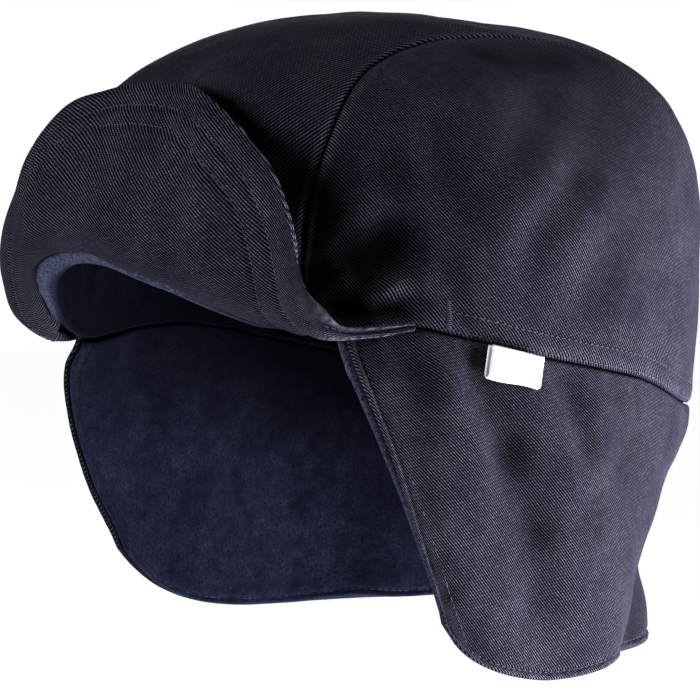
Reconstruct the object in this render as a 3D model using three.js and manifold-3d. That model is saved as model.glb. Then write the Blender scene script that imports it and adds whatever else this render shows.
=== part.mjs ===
// Winter work cap: a soft three-panel twill crown, a turned-up front peak, and one deep
// curtain of twill that covers both ears and the nape, all lined with plush.
//
// Millimetres, +Z up. The front of the cap looks along -Y and the wearer's left is +X.
// The origin is the centre of the head opening, level with the seam above the ears.
// Angles run round the cap in degrees: 0 at the forehead, 90 at the left ear, 180 at the nape.
import * as THREE from "three";
import { mergeVertices } from "three/addons/utils/BufferGeometryUtils.js";
import Module from "manifold-3d";

const wasm = await Module();
wasm.setup();

// Overall form of the crown, measured on its outer face.
const halfWidth = 86;
const frontReach = 104;
const backReach = 109.5;
const crownHeight = 94.5;
const crownLean = 9.5;
const leanPower = 1.5;
const widestHeight = 24;
const taperDepth = 150;
const domeFullness = 2.42;
const ovalFullness = 2.1;

// The rim, where the crown ends: it is high on the forehead and low on the nape.
const foreheadRise = 25;
const napeDrop = 28;
const templeAngle = 53;

// The curtain hangs this far below the origin.
const curtainDrop = 100;
const flapFlare = 8;
const flareDegrees = 20;
const flareForward = 1.3;
const hemSweepPower = 0.9;
const foldPower = 0.7;
const rimBlend = 14;

// Cloth.
const shellWall = 1.3;
const liningWall = 3;
const layerGap = 0.45;
const seamGap = 0.4;
const liningPeep = 5.6;
const liningLap = 2;

// The curtain's layers are turned against each other along its free edges: each is rounded off
// over the width of the roll, and the plush starts a step inside the twill.
const edgeRoll = 2.6;
const edgeStep = 0.5;
const edgeThinning = 0.5;

// The peak, from its fold at the rim to its free edge.
const peakDepth = 56;
const peakWall = 2.8;
const peakEndWall = 1.8;
const peakEndAngle = 66;
const rollSag = 1;
const peakBelly = 10;
const bellyPlace = 0.65;
const tuckSet = -0.8 * shellWall;
const openSet = 2.5 * seamGap;
const peakSeat = 1.5 * seamGap;
const tuckStart = 9;
const tuckEnd = 2;
const thinStart = 8;

// The woven tag folded into the side seam.
const tagLength = 18.5;
const tagDrop = 9.6;
const tagCloth = 0.6;
const tagHollow = 1.5;
const tagStand = 0.45;
const tagAngle = 83.2;

// How finely the walls are divided.
const domeColumns = 48;
const domeRows = 11;
const curtainColumns = 44;
const curtainRows = 9;
const peakColumns = 36;
const peakRows = 8;

// Height of the rim on either side, which droops more at the right temple: shares of
// foreheadRise above the origin, and of napeDrop below it.
const rimLine = [
  { angle: 0, left: 1, right: 1 },
  { angle: 20, left: 0.8, right: 0.77 },
  { angle: 30, left: 0.6, right: 0.53 },
  { angle: 40, left: 0.38, right: 0.2 },
  { angle: 53, left: 0.14, right: -0.17 },
  { angle: 66, left: 0.165, right: -0.13 },
  { angle: 74, left: 0.05, right: -0.09 },
  { angle: 86, left: -0.15, right: -0.12 },
  { angle: 98, left: -0.33, right: -0.3 },
  { angle: 112, left: -0.52, right: -0.5 },
  { angle: 130, left: -0.84, right: -0.82 },
  { angle: 150, left: -0.97, right: -0.97 },
  { angle: 180, left: -1, right: -1 },
];

// Half the width of the middle panel from front to back: shares of frontReach or backReach
// along, and of halfWidth across.
const middlePanel = [
  { along: -1.1, across: 0.78 },
  { along: -0.63, across: 0.735 },
  { along: -0.38, across: 0.62 },
  { along: -0.08, across: 0.57 },
  { along: 0.3, across: 0.52 },
  { along: 0.7, across: 0.49 },
  { along: 1.1, across: 0.46 },
];

// Soft dents in the crown: centre as shares of halfWidth, frontReach or backReach, and
// crownHeight; size and depth as shares of halfWidth.
const crownDents = [
  { across: 0.3, along: 0.3, up: 0.95, size: 0.26, depth: 0.04 },
  { across: 0.85, along: -0.22, up: 0.6, size: 0.2, depth: 0.03 },
  { across: 0.9, along: 0.15, up: 0.62, size: 0.16, depth: 0.022 },
  { across: 0.93, along: -0.42, up: 0.25, size: 0.17, depth: 0.045 },
  { across: 0.75, along: 0.62, up: 0.45, size: 0.2, depth: 0.018 },
  { across: -0.35, along: 0.25, up: 0.95, size: 0.24, depth: 0.03 },
  { across: -0.9, along: -0.1, up: 0.6, size: 0.22, depth: 0.03 },
  { across: -0.85, along: 0.45, up: 0.5, size: 0.2, depth: 0.022 },
  { across: 0.05, along: 1, up: 0.35, size: 0.25, depth: 0.025 },
  { across: 0, along: -0.95, up: 0.5, size: 0.4, depth: 0.055 },
];

// The curtain from front to nape: each row ties a place on the rim to one on the hem, whose
// drop on either side is a share of curtainDrop. The first row is the flap's front edge.
const hemLine = [
  { rim: 53, hem: 71.5, left: 0.805, right: 0.775 },
  { rim: 56, hem: 74.5, left: 0.875, right: 0.84 },
  { rim: 61, hem: 79, left: 0.93, right: 0.91 },
  { rim: 68, hem: 85, left: 0.97, right: 0.965 },
  { rim: 78, hem: 92.5, left: 0.998, right: 0.995 },
  { rim: 96, hem: 105, left: 0.995, right: 1.005 },
  { rim: 112, hem: 117, left: 0.95, right: 1 },
  { rim: 124, hem: 127, left: 0.93, right: 0.99 },
  { rim: 150, hem: 151, left: 0.965, right: 0.98 },
  { rim: 180, hem: 180, left: 0.975, right: 0.975 },
];

// How far the curtain stands out at each drop: shares of halfWidth and of backReach.
const curtainSections = [
  { drop: 0, side: 0.99, back: 0.98 },
  { drop: 0.2, side: 1, back: 0.968 },
  { drop: 0.34, side: 1, back: 0.932 },
  { drop: 0.4, side: 1, back: 0.9 },
  { drop: 0.47, side: 1, back: 0.848 },
  { drop: 0.6, side: 1, back: 0.795 },
  { drop: 0.7, side: 0.995, back: 0.758 },
  { drop: 0.78, side: 0.99, back: 0.757 },
  { drop: 0.88, side: 0.98, back: 0.785 },
  { drop: 1, side: 0.975, back: 0.785 },
];

// How far the front edge of each flap stands out on its way down: shares of flapFlare.
const flapSpread = [
  { down: 0, left: 0, right: 0 },
  { down: 0.14, left: 0.8, right: 0.65 },
  { down: 0.4, left: 0.95, right: 1.1 },
  { down: 0.7, left: 0.6, right: 1.1 },
  { down: 1, left: 0.35, right: 0.8 },
];

// Folds that run down the curtain, in degrees, with depth as a share of halfWidth. A fold
// starts at a share of curtainDrop and is deepest at the hem.
const curtainFolds = [
  { top: 148, hem: 124, width: 11, start: 0.5, depth: 0.08 },
  { top: 72, hem: 92, width: 9, start: 0.1, depth: 0.03 },
  { top: -146, hem: -127, width: 10, start: 0.5, depth: 0.06 },
  { top: -80, hem: -92, width: 9, start: 0.15, depth: 0.025 },
  { top: 178, hem: 176, width: 12, start: 0.35, depth: 0.03 },
];

// The peak's free edge: shares of halfWidth across, frontReach ahead and crownHeight up. Roll
// is how far the fold below it stands out, as a share of peakDepth.
const peakEdge = [
  { angle: -66, across: -0.95, ahead: 0.5, up: -0.015, roll: 0.02 },
  { angle: -60, across: -0.945, ahead: 0.64, up: -0.02, roll: 0.08 },
  { angle: -56, across: -0.935, ahead: 0.73, up: 0.02, roll: 0.14 },
  { angle: -52, across: -0.93, ahead: 0.79, up: 0.1, roll: 0.22 },
  { angle: -48, across: -0.92, ahead: 0.815, up: 0.2, roll: 0.27 },
  { angle: -45, across: -0.885, ahead: 0.815, up: 0.32, roll: 0.29 },
  { angle: -42, across: -0.79, ahead: 0.808, up: 0.455, roll: 0.29 },
  { angle: -38, across: -0.663, ahead: 0.822, up: 0.571, roll: 0.27 },
  { angle: -27, across: -0.419, ahead: 0.832, up: 0.698, roll: 0.26 },
  { angle: -13, across: -0.198, ahead: 0.832, up: 0.746, roll: 0.25 },
  { angle: 0, across: 0, ahead: 0.827, up: 0.767, roll: 0.25 },
  { angle: 13, across: 0.198, ahead: 0.832, up: 0.767, roll: 0.25 },
  { angle: 27, across: 0.419, ahead: 0.832, up: 0.741, roll: 0.25 },
  { angle: 38, across: 0.663, ahead: 0.822, up: 0.608, roll: 0.23 },
  { angle: 42, across: 0.785, ahead: 0.805, up: 0.495, roll: 0.21 },
  { angle: 45, across: 0.86, ahead: 0.795, up: 0.345, roll: 0.18 },
  { angle: 49, across: 0.878, ahead: 0.775, up: 0.21, roll: 0.14 },
  { angle: 53, across: 0.868, ahead: 0.745, up: 0.11, roll: 0.1 },
  { angle: 57, across: 0.872, ahead: 0.66, up: 0.06, roll: 0.06 },
  { angle: 60, across: 0.9, ahead: 0.57, up: 0.055, roll: 0.04 },
  { angle: 66, across: 0.95, ahead: 0.44, up: 0.065, roll: 0.02 },
];

// Shallow waves across the peak, in degrees, with depth as a share of peakDepth.
const peakWaves = [
  { angle: 16, width: 9, depth: 0.045 },
  { angle: -9, width: 9, depth: 0.03 },
  { angle: 38, width: 7, depth: 0.02 },
];

const radians = THREE.MathUtils.degToRad;

// A smooth curve through one column of a table, level at both ends.
function readTable(table, key, column, at) {
  const last = table.length - 1;
  const x = THREE.MathUtils.clamp(at, table[0][key], table[last][key]);
  let i = 0;
  while (i < last - 1 && x > table[i + 1][key]) i++;
  const slope = (k) => {
    if (k === 0 || k === last) return 0;
    const [a, b] = [table[k - 1], table[k + 1]];
    return (b[column] - a[column]) / (b[key] - a[key]);
  };
  const step = table[i + 1][key] - table[i][key];
  const t = (x - table[i][key]) / step;
  const rest = 1 - t;
  return (
    table[i][column] * rest * rest * (1 + 2 * t) +
    slope(i) * step * t * rest * rest +
    table[i + 1][column] * t * t * (3 - 2 * t) -
    slope(i + 1) * step * t * t * rest
  );
}

const bell = (distance, width) => Math.exp(-((distance / width) ** 2));
const signedPower = (value, power) => Math.sign(value) * Math.abs(value) ** power;
const alongReach = (share) => share * (share < 0 ? frontReach : backReach);

function rimHeight(angle) {
  const share = readTable(rimLine, "angle", angle < 0 ? "right" : "left", Math.abs(angle));
  return share * (share > 0 ? foreheadRise : napeDrop);
}

// A point on the horizontal oval, for the given half width and front or back reach.
function ovalPoint(angle, side, front, back, height) {
  const turn = radians(angle);
  const x = side * signedPower(Math.sin(turn), 2 / ovalFullness);
  const y = -signedPower(Math.cos(turn), 2 / ovalFullness);
  return new THREE.Vector3(x, y * (y < 0 ? front : back), height);
}

// How much of its full width the crown keeps at a height.
function crownSpread(height) {
  const reach = height > widestHeight ? crownHeight - widestHeight : taperDepth;
  const share = Math.min(Math.abs(height - widestHeight) / reach, 1);
  return (1 - share ** domeFullness) ** (1 / domeFullness);
}

function dented(point) {
  const centre = new THREE.Vector3(0, 0, widestHeight);
  const inward = centre.clone().sub(point).normalize();
  for (const dent of crownDents) {
    const place = new THREE.Vector3(
      dent.across * halfWidth,
      alongReach(dent.along),
      dent.up * crownHeight,
    );
    const size = dent.size * halfWidth;
    const depth = dent.depth * halfWidth;
    point.addScaledVector(inward, depth * bell(point.distanceTo(place), size));
  }
  return point;
}

// The crown's outer face: lift is 0 at the rim and 1 at the top.
function crownPoint(angle, lift, lower = 0) {
  const rim = rimHeight(angle) - lower;
  const reach = rim > widestHeight ? crownHeight - widestHeight : taperDepth;
  const share = (rim - widestHeight) / reach;
  const start = Math.asin(signedPower(share, domeFullness / 2));
  const tilt = start + (Math.PI / 2 - start) * lift;
  const sine = signedPower(Math.sin(tilt), 2 / domeFullness);
  const scale = sine > 0 ? crownHeight - widestHeight : taperDepth;
  const height = widestHeight + sine * scale;
  const spread = lift === 1 ? 0 : crownSpread(height);
  const point = ovalPoint(
    angle,
    halfWidth * spread,
    frontReach * spread,
    backReach * spread,
    height,
  );
  const risen = (height - widestHeight) / (crownHeight - widestHeight);
  point.y += crownLean * Math.max(risen, 0) ** leanPower;
  return dented(point);
}

// The curtain's outer face: across runs from 0 at the left front edge, round the nape, to 1 at
// the right one, and down from 0 at the rim to 1 at the hem.
function curtainPoint(across, down) {
  const side = across > 0.5 ? -1 : 1;
  const half = across > 0.5 ? 1 - across : across;
  const rimAngle = templeAngle + (180 - templeAngle) * 2 * half;
  const hemAngle = readTable(hemLine, "rim", "hem", rimAngle);
  const angle = rimAngle + (hemAngle - rimAngle) * Math.max(down, 0) ** hemSweepPower;
  const top = rimHeight(rimAngle * side) - seamGap;
  const turn = side < 0 ? "right" : "left";
  const hem = -readTable(hemLine, "rim", turn, rimAngle) * curtainDrop;
  const height = top + (hem - top) * down;

  const drop = Math.max(-height / curtainDrop, 0);
  const blend = THREE.MathUtils.smoothstep(top - height, 0, rimBlend);
  const rimSpread = crownSpread(top);
  const mix = (column) =>
    THREE.MathUtils.lerp(rimSpread, readTable(curtainSections, "drop", column, drop), blend);
  const spread = readTable(flapSpread, "down", turn, down);
  const flare = flapFlare * bell(rimAngle - templeAngle, flareDegrees) * spread;
  let fold = 0;
  for (const row of curtainFolds) {
    const share = THREE.MathUtils.clamp((drop - row.start) / (1 - row.start), 0, 1);
    const middle = THREE.MathUtils.lerp(row.top, row.hem, share);
    const gap = Math.abs(((angle * side - middle + 540) % 360) - 180);
    fold += row.depth * halfWidth * share ** foldPower * bell(gap, row.width);
  }
  const stand = flare - fold;
  return ovalPoint(
    angle * side,
    halfWidth * mix("side") + stand,
    frontReach * mix("side") + flareForward * stand,
    backReach * mix("back") + stand,
    height,
  );
}

function peakTucked(angle) {
  const from = templeAngle - tuckStart;
  return 1 - THREE.MathUtils.smoothstep(Math.abs(angle), from, templeAngle - tuckEnd);
}

// The peak's outer face: out is 0 at the fold and 1 at the free edge.
function peakPoint(angle, out) {
  const tucked = peakTucked(angle);
  const rim = crownPoint(angle, 0);
  const facing = new THREE.Vector3(rim.x / halfWidth, rim.y / frontReach, 0).normalize();
  const wall = peakThickness(angle);
  const seat = THREE.MathUtils.lerp(wall + openSet, tuckSet, tucked);
  const fall = THREE.MathUtils.lerp(wall, wall + peakSeat, tucked);
  const fold = rim.clone().addScaledVector(facing, seat);
  fold.z -= fall;

  const edge = new THREE.Vector3(
    readTable(peakEdge, "angle", "across", angle) * halfWidth,
    -readTable(peakEdge, "angle", "ahead", angle) * frontReach,
    readTable(peakEdge, "angle", "up", angle) * crownHeight,
  );
  const share = edge.distanceTo(fold) / peakDepth;
  const reach = readTable(peakEdge, "angle", "roll", angle) * peakDepth;
  const roll = fold.clone().addScaledVector(facing, reach);
  roll.z -= rollSag * share;
  const belly = fold.clone().lerp(edge, bellyPlace).addScaledVector(facing, peakBelly * share);
  const point = new THREE.CubicBezierCurve3(fold, roll, belly, edge).getPoint(out);
  for (const wave of peakWaves) {
    const depth = wave.depth * peakDepth * bell(angle - wave.angle, wave.width);
    point.addScaledVector(facing, -depth * Math.sin((Math.PI / 2) * out) ** 2);
  }
  return point;
}

function peakThickness(angle) {
  const end = THREE.MathUtils.smoothstep(Math.abs(angle), templeAngle - thinStart, peakEndAngle);
  return THREE.MathUtils.lerp(peakWall, peakEndWall, end);
}

// The outward normal of a face given as a function of two shares.
function normalAt(face, u, v, outward) {
  const step = 1e-3;
  const along = face(u + step, v).sub(face(u - step, v));
  const up = face(u, Math.min(v + step, 1)).sub(face(u, Math.max(v - step, 0)));
  return along.cross(up).normalize().multiplyScalar(outward);
}

// A grid of points inset from a face by a distance, which may vary over it.
function insetGrid(face, us, vs, outward, inset) {
  return us.map((u) =>
    vs.map((v) => {
      const normal = normalAt(face, u, v, outward);
      return face(u, v).addScaledVector(normal, -inset(u, v));
    }),
  );
}

const steps = (count, from = 0, to = 1) =>
  Array.from({ length: count + 1 }, (_, i) => from + ((to - from) * i) / count);

// A closed body between an outer and an inner grid: wrapped where the columns go all round.
function wallBetween(outer, inner, wrapped) {
  const corners = [];
  const quad = (a, b, c, d) => corners.push(a, b, c, a, c, d);
  const columns = outer.length;
  const last = outer[0].length - 1;
  for (let i = 0; i < (wrapped ? columns : columns - 1); i++) {
    const k = (i + 1) % columns;
    for (let j = 0; j < last; j++) {
      quad(outer[i][j], outer[k][j], outer[k][j + 1], outer[i][j + 1]);
      quad(inner[i][j], inner[i][j + 1], inner[k][j + 1], inner[k][j]);
    }
    quad(outer[i][0], inner[i][0], inner[k][0], outer[k][0]);
    quad(outer[i][last], outer[k][last], inner[k][last], inner[i][last]);
  }
  if (!wrapped) {
    const end = columns - 1;
    for (let j = 0; j < last; j++) {
      quad(outer[0][j], outer[0][j + 1], inner[0][j + 1], inner[0][j]);
      quad(outer[end][j], inner[end][j], inner[end][j + 1], outer[end][j + 1]);
    }
  }
  return corners;
}

// Triangles as a merged geometry with its faces pointing out.
function geometryOf(corners) {
  const loose = new THREE.BufferGeometry().setFromPoints(corners);
  const merged = mergeVertices(loose, 1e-3);
  const index = merged.index.array;
  const place = merged.attributes.position;
  const at = (i) => new THREE.Vector3().fromBufferAttribute(place, i);
  const kept = [];
  let volume = 0;
  for (let i = 0; i < index.length; i += 3) {
    const [a, b, c] = index.slice(i, i + 3);
    if (a === b || b === c || a === c) continue;
    kept.push(a, b, c);
    volume += at(a).dot(at(b).cross(at(c)));
  }
  merged.setIndex(volume < 0 ? kept.reverse() : kept);
  return merged;
}

function solidOf(geometry) {
  const bare = geometry.clone();
  bare.deleteAttribute("normal");
  bare.deleteAttribute("uv");
  const merged = mergeVertices(bare, 1e-3);
  return new wasm.Manifold(
    new wasm.Mesh({
      numProp: 3,
      vertProperties: merged.attributes.position.array,
      triVerts: new Uint32Array(merged.index.array),
    }),
  );
}

function geometryFrom(solid) {
  const mesh = solid.getMesh();
  return new THREE.BufferGeometry()
    .setAttribute("position", new THREE.BufferAttribute(mesh.vertProperties, 3))
    .setIndex(new THREE.BufferAttribute(mesh.triVerts, 1));
}

const twill = { color: 0x23232f, roughness: 0.85, metalness: 0 };
const plush = { color: 0x191d2e, roughness: 1, metalness: 0 };
const tagCotton = { color: 0xe9ebf0, roughness: 0.8, metalness: 0 };

const cap = new THREE.Group();

function addPiece(name, geometry, finish) {
  const mesh = new THREE.Mesh(geometry, new THREE.MeshStandardMaterial(finish));
  mesh.name = name;
  cap.add(mesh);
  return mesh;
}

function crownLayer(from, to, lower) {
  const angles = steps(domeColumns, -180, 180).slice(0, -1);
  const lifts = steps(domeRows);
  const face = (angle, lift) => crownPoint(angle, lift, lower(angle));
  const layer = (inset) =>
    angles.map((angle) =>
      lifts.map((lift) => {
        const normal =
          lift === 1 ? new THREE.Vector3(0, 0, 1) : crownNormal(face, angle, lift);
        return face(angle, lift).addScaledVector(normal, -inset);
      }),
    );
  return wallBetween(layer(from), layer(to), true);
}

function crownNormal(face, angle, lift) {
  const along = face(angle + 0.2, lift).sub(face(angle - 0.2, lift));
  const low = Math.max(lift - 1e-3, 0);
  const up = face(angle, Math.min(lift + 1e-3, 1)).sub(face(angle, low));
  return along.cross(up).normalize();
}

// The crown's three panels, cut apart along the two seams that run front to back.
function buildCrown() {
  const shell = solidOf(geometryOf(crownLayer(0, shellWall, () => 0)));
  const strip = (spare) => {
    const rows = steps(24, -1.1, 1.1).map((along) => ({
      y: alongReach(along),
      x: readTable(middlePanel, "along", "across", along) * halfWidth + spare,
    }));
    const outline = new THREE.Shape([
      ...rows.map((row) => new THREE.Vector2(row.x, row.y)),
      ...rows.reverse().map((row) => new THREE.Vector2(-row.x, row.y)),
    ]);
    const depth = 2 * (crownHeight + napeDrop);
    const prism = new THREE.ExtrudeGeometry(outline, { depth, bevelEnabled: false });
    return solidOf(prism.translate(0, 0, -depth / 2));
  };
  const middle = shell.intersect(strip(-seamGap / 2));
  addPiece("crown_middle", geometryFrom(middle), twill);
  for (const side of shell.subtract(strip(seamGap / 2)).decompose()) {
    const right = side.boundingBox().max[0] < 0;
    addPiece(right ? "crown_side_right" : "crown_side_left", geometryFrom(side), twill);
  }
}

// The plush inside the crown shows below the forehead edge, stops short of the temples and
// laps the seam further back: shares of liningPeep below the rim.
const liningEdge = [
  { angle: 0, below: 1 },
  { angle: 38, below: 1 },
  { angle: 51, below: -0.3 },
  { angle: 58, below: -0.3 },
  { angle: 66, below: 0.35 },
  { angle: 180, below: 0.35 },
];

function buildCrownLining() {
  const from = shellWall + layerGap;
  const lower = (angle) => liningPeep * readTable(liningEdge, "angle", "below", Math.abs(angle));
  const layer = crownLayer(from, from + liningWall, lower);
  addPiece("crown_lining", geometryOf(layer), plush);
}

// One layer of the curtain between two depths below its outer face. It starts a step inside
// the free edges and a lap below the seam, and it is rounded off on one of its faces.
function curtainLayer({ from, wall, step, lap, roundOuter }) {
  const girth = 2 * (halfWidth + backReach);
  const marks = [0, 0.35, 1].map((mark) => step + mark * edgeRoll);
  const us = [
    ...marks.map((mark) => mark / girth),
    ...steps(curtainColumns).slice(1, -1),
    ...marks.map((mark) => 1 - mark / girth).reverse(),
  ];
  const vs = [
    lap / curtainDrop,
    ...steps(curtainRows, 0, 0.9).slice(1),
    ...marks.map((mark) => 1 - mark / curtainDrop).reverse(),
  ];
  const rounding = (u, v) => {
    const fromEdge = Math.min(Math.min(u, 1 - u) * girth, (1 - v) * curtainDrop) - step;
    const rest = 1 - THREE.MathUtils.clamp(fromEdge / edgeRoll, 0, 1);
    return edgeThinning * wall * (1 - Math.sqrt(1 - rest * rest));
  };
  const outer = (u, v) => from + (roundOuter ? rounding(u, v) : 0);
  const inner = (u, v) => from + wall - (roundOuter ? 0 : rounding(u, v));
  const grid = (inset) => insetGrid(curtainPoint, us, vs, -1, inset);
  return geometryOf(wallBetween(grid(outer), grid(inner), false));
}

function buildCurtain() {
  const shell = { from: 0, wall: shellWall, step: 0, lap: 0, roundOuter: true };
  addPiece("curtain", curtainLayer(shell), twill);
  const lining = {
    from: shellWall + layerGap,
    wall: liningWall,
    step: edgeStep,
    lap: liningLap + 3 * seamGap,
    roundOuter: false,
  };
  addPiece("curtain_lining", curtainLayer(lining), plush);
}

function buildPeak() {
  const face = (angle, out) => peakPoint(angle, out);
  const angles = steps(peakColumns, -1, 1).map((share) => peakEndAngle * signedPower(share, 0.75));
  const outs = steps(peakRows).map((share) => share ** 1.3);
  const outer = angles.map((angle) => outs.map((out) => face(angle, out)));
  const inner = insetGrid(face, angles, outs, 1, (angle) => peakThickness(angle));
  addPiece("peak", geometryOf(wallBetween(outer, inner, false)), twill);
}

// The tag is a short folded strip that hangs from the seam on the left of the cap.
function buildTag() {
  const outline = new THREE.Shape();
  const wide = tagCloth * 2 + tagHollow;
  outline.moveTo(0, 0);
  outline.lineTo(0, -tagDrop + wide / 2);
  outline.absarc(wide / 2, -tagDrop + wide / 2, wide / 2, Math.PI, 2 * Math.PI);
  outline.lineTo(wide, 0);
  outline.lineTo(wide - tagCloth, 0);
  outline.absarc(wide / 2, -tagDrop + wide / 2, tagHollow / 2, 2 * Math.PI, Math.PI, true);
  outline.lineTo(tagCloth, 0);
  outline.closePath();
  const strip = new THREE.ExtrudeGeometry(outline, {
    depth: tagLength,
    bevelEnabled: false,
    curveSegments: 6,
  });
  strip.translate(0, 0, -tagLength / 2);
  const share = (tagAngle - templeAngle) / (180 - templeAngle) / 2;
  const half = tagLength / 8 / (halfWidth + backReach);
  const before = curtainPoint(share - half, 0);
  const alongSeam = curtainPoint(share + half, 0).sub(before).normalize().negate();
  const outward = normalAt(curtainPoint, share, 0.06, -1);
  outward.addScaledVector(alongSeam, -outward.dot(alongSeam)).normalize();
  const upward = new THREE.Vector3().crossVectors(alongSeam, outward);
  const mesh = addPiece("tag", strip, tagCotton);
  mesh.matrixAutoUpdate = false;
  mesh.matrix.makeBasis(outward, upward, alongSeam);
  mesh.matrix.setPosition(curtainPoint(share, 0).addScaledVector(outward, tagStand));
}

buildCrown();
buildCrownLining();
buildCurtain();
buildPeak();
buildTag();

export default cap;
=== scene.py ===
"""The looks of a lined twill winter cap: its cloth, plush, seams, stitching, folds and stage."""

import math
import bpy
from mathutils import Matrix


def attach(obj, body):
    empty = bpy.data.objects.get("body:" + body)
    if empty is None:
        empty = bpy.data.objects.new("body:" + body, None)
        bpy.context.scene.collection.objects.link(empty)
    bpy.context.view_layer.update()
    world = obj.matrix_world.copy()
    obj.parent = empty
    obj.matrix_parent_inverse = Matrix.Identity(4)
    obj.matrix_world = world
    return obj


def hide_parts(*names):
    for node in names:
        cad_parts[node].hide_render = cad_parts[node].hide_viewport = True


bl_info = {
    "name": "Winter cap",
    "version": (1, 0, 0),
    "blender": (4, 5, 0),
    "location": "3D View > Sidebar > Winter cap",
    "description": "Dresses a lined twill cap with a turned-up peak and ear flaps",
    "category": "Object",
}

import bmesh
import bpy
import numpy as np
from bpy.props import FloatProperty, FloatVectorProperty, PointerProperty
from bpy.types import Operator, Panel, PropertyGroup
from mathutils import Matrix, Vector, noise

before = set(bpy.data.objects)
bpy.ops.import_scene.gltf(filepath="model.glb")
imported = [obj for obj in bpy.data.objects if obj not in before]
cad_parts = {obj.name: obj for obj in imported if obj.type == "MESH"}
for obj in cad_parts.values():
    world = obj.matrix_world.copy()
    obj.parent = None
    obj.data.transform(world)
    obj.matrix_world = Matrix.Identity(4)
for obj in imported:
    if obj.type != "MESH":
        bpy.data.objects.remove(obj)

MM = 0.001
BODY = "root"

# The crown's outer face, as the frame has it. -Y is the front, +X the wearer's left.
HALF_WIDTH = 86 * MM
FRONT_REACH = 104 * MM
BACK_REACH = 109.5 * MM
CROWN_HEIGHT = 94.5 * MM
CROWN_LEAN = 9.5 * MM
LEAN_POWER = 1.5
WIDEST_HEIGHT = 24 * MM
TAPER_DEPTH = 150 * MM
DOME_FULLNESS = 2.42
OVAL_FULLNESS = 2.1

# The rim, and the curtain that hangs from it.
FOREHEAD_RISE = 25 * MM
NAPE_DROP = 28 * MM
TEMPLE_ANGLE = 53
CURTAIN_DROP = 100 * MM
FLAP_FLARE = 8 * MM
FLARE_DEGREES = 20
FLARE_FORWARD = 1.3
HEM_SWEEP_POWER = 0.9
FOLD_POWER = 0.7
RIM_BLEND = 14 * MM

# Cloth.
SHELL_WALL = 1.3 * MM
LINING_WALL = 3 * MM
LAYER_GAP = 0.45 * MM
LINING_DEPTH = SHELL_WALL + LAYER_GAP
SEAM_GAP = 0.4 * MM
LINING_PEEP = 5.6 * MM
LINING_LAP = 1.45 * MM
EDGE_STEP = 0.4 * MM
CROWN_EDGE_ROUND = 0.6 * MM
PLUSH_STRIP = 1.9 * MM
STITCH_PRESS = 0.9 * MM
FAR_FOLD_SHARE = 0.5
FOLD_FADE = 4 * MM

# Topstitching: insets from the edges, and angles and lifts where the rows end.
CROWN_ROWS = (1.2 * MM, 6.4 * MM)
PEAK_ROWS = (8 * MM, 14.5 * MM)
FLAP_INSET = 2.6 * MM
THREAD_SINK = 0.95 * MM
BARTACK_ANGLE = 71.9
BARTACK_FADE = 4
BARTACK_LIFTS = (0.004, 0.03)
BARTACK_PITCH = 0.6 * MM
GROOVE_ANGLES = (52, 64)

# Grids: fine step along the edges, coarse step between, and width of the fine band.
SHELL_GRID = (0.45 * MM, 1.6 * MM, 8 * MM)
PLUSH_GRID = (0.7 * MM, 1.4 * MM, 6 * MM)
CROWN_PLUSH_GRID = (0.42 * MM, 2.4 * MM, 8 * MM)
CROWN_GIRTH = 130 * MM
PLUSH_SPANS = ((-180, -54, 61), (-54, 40, 249), (40, 180, 99))
SMALL_STEP = 1e-3
FAR_AWAY = 1.0

# The hook over the far brow, where the peak's base stands off the rim and the plush rolls out.
# Pairs are where a change starts and ends, in degrees or below the rim.
HOOK_OUT = 4 * MM
HOOK_RISE = 3.3 * MM
HOOK_CURL = 4.2 * MM
HOOK_SHORT = 1.2 * MM
HOOK_SHOULDER = 3 * MM
PLUSH_CLEAR = 0.15 * MM
HOOK_START = (-37, -10)
HOOK_END = (2, 28)
SLIT_END = (TEMPLE_ANGLE - 0.7, TEMPLE_ANGLE - 0.1)
ROUND_CHANGE = (48, 56)
SWELL_DEPTH = (0.2 * MM, 1.4 * MM)
CURL_SWELL = (1.8 * MM, 4.2 * MM)
CURL_DEPTH = (1.4 * MM, 4.4 * MM)

# The peak, from its fold at the rim to its free edge.
PEAK_DEPTH = 56 * MM
PEAK_WALL = 2.8 * MM
PEAK_END_WALL = 1.8 * MM
PEAK_END_ANGLE = 66
ROLL_SAG = 1 * MM
PEAK_BELLY = 10 * MM
BELLY_PLACE = 0.65
TUCK_SET = -0.8 * SHELL_WALL
OPEN_SET = 2.5 * SEAM_GAP
PEAK_SEAT = 1.5 * SEAM_GAP
TUCK_START = 9
TUCK_END = 2
THIN_START = 8
PEAK_PUFF = 0.4 * MM
PUFF_START = (14.5 * MM, 17 * MM)
NARROW = (49, 54)

# The peak's near end leans back and lifts off the rim.
NEAR_LEAN = 5 * MM
NEAR_BEND = 53.5
NEAR_BEND_WIDTH = 2.6
BACK_AND_OUT = np.array([0.6, 0.8, 0])
END_LIFT = 1.5 * MM

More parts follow.
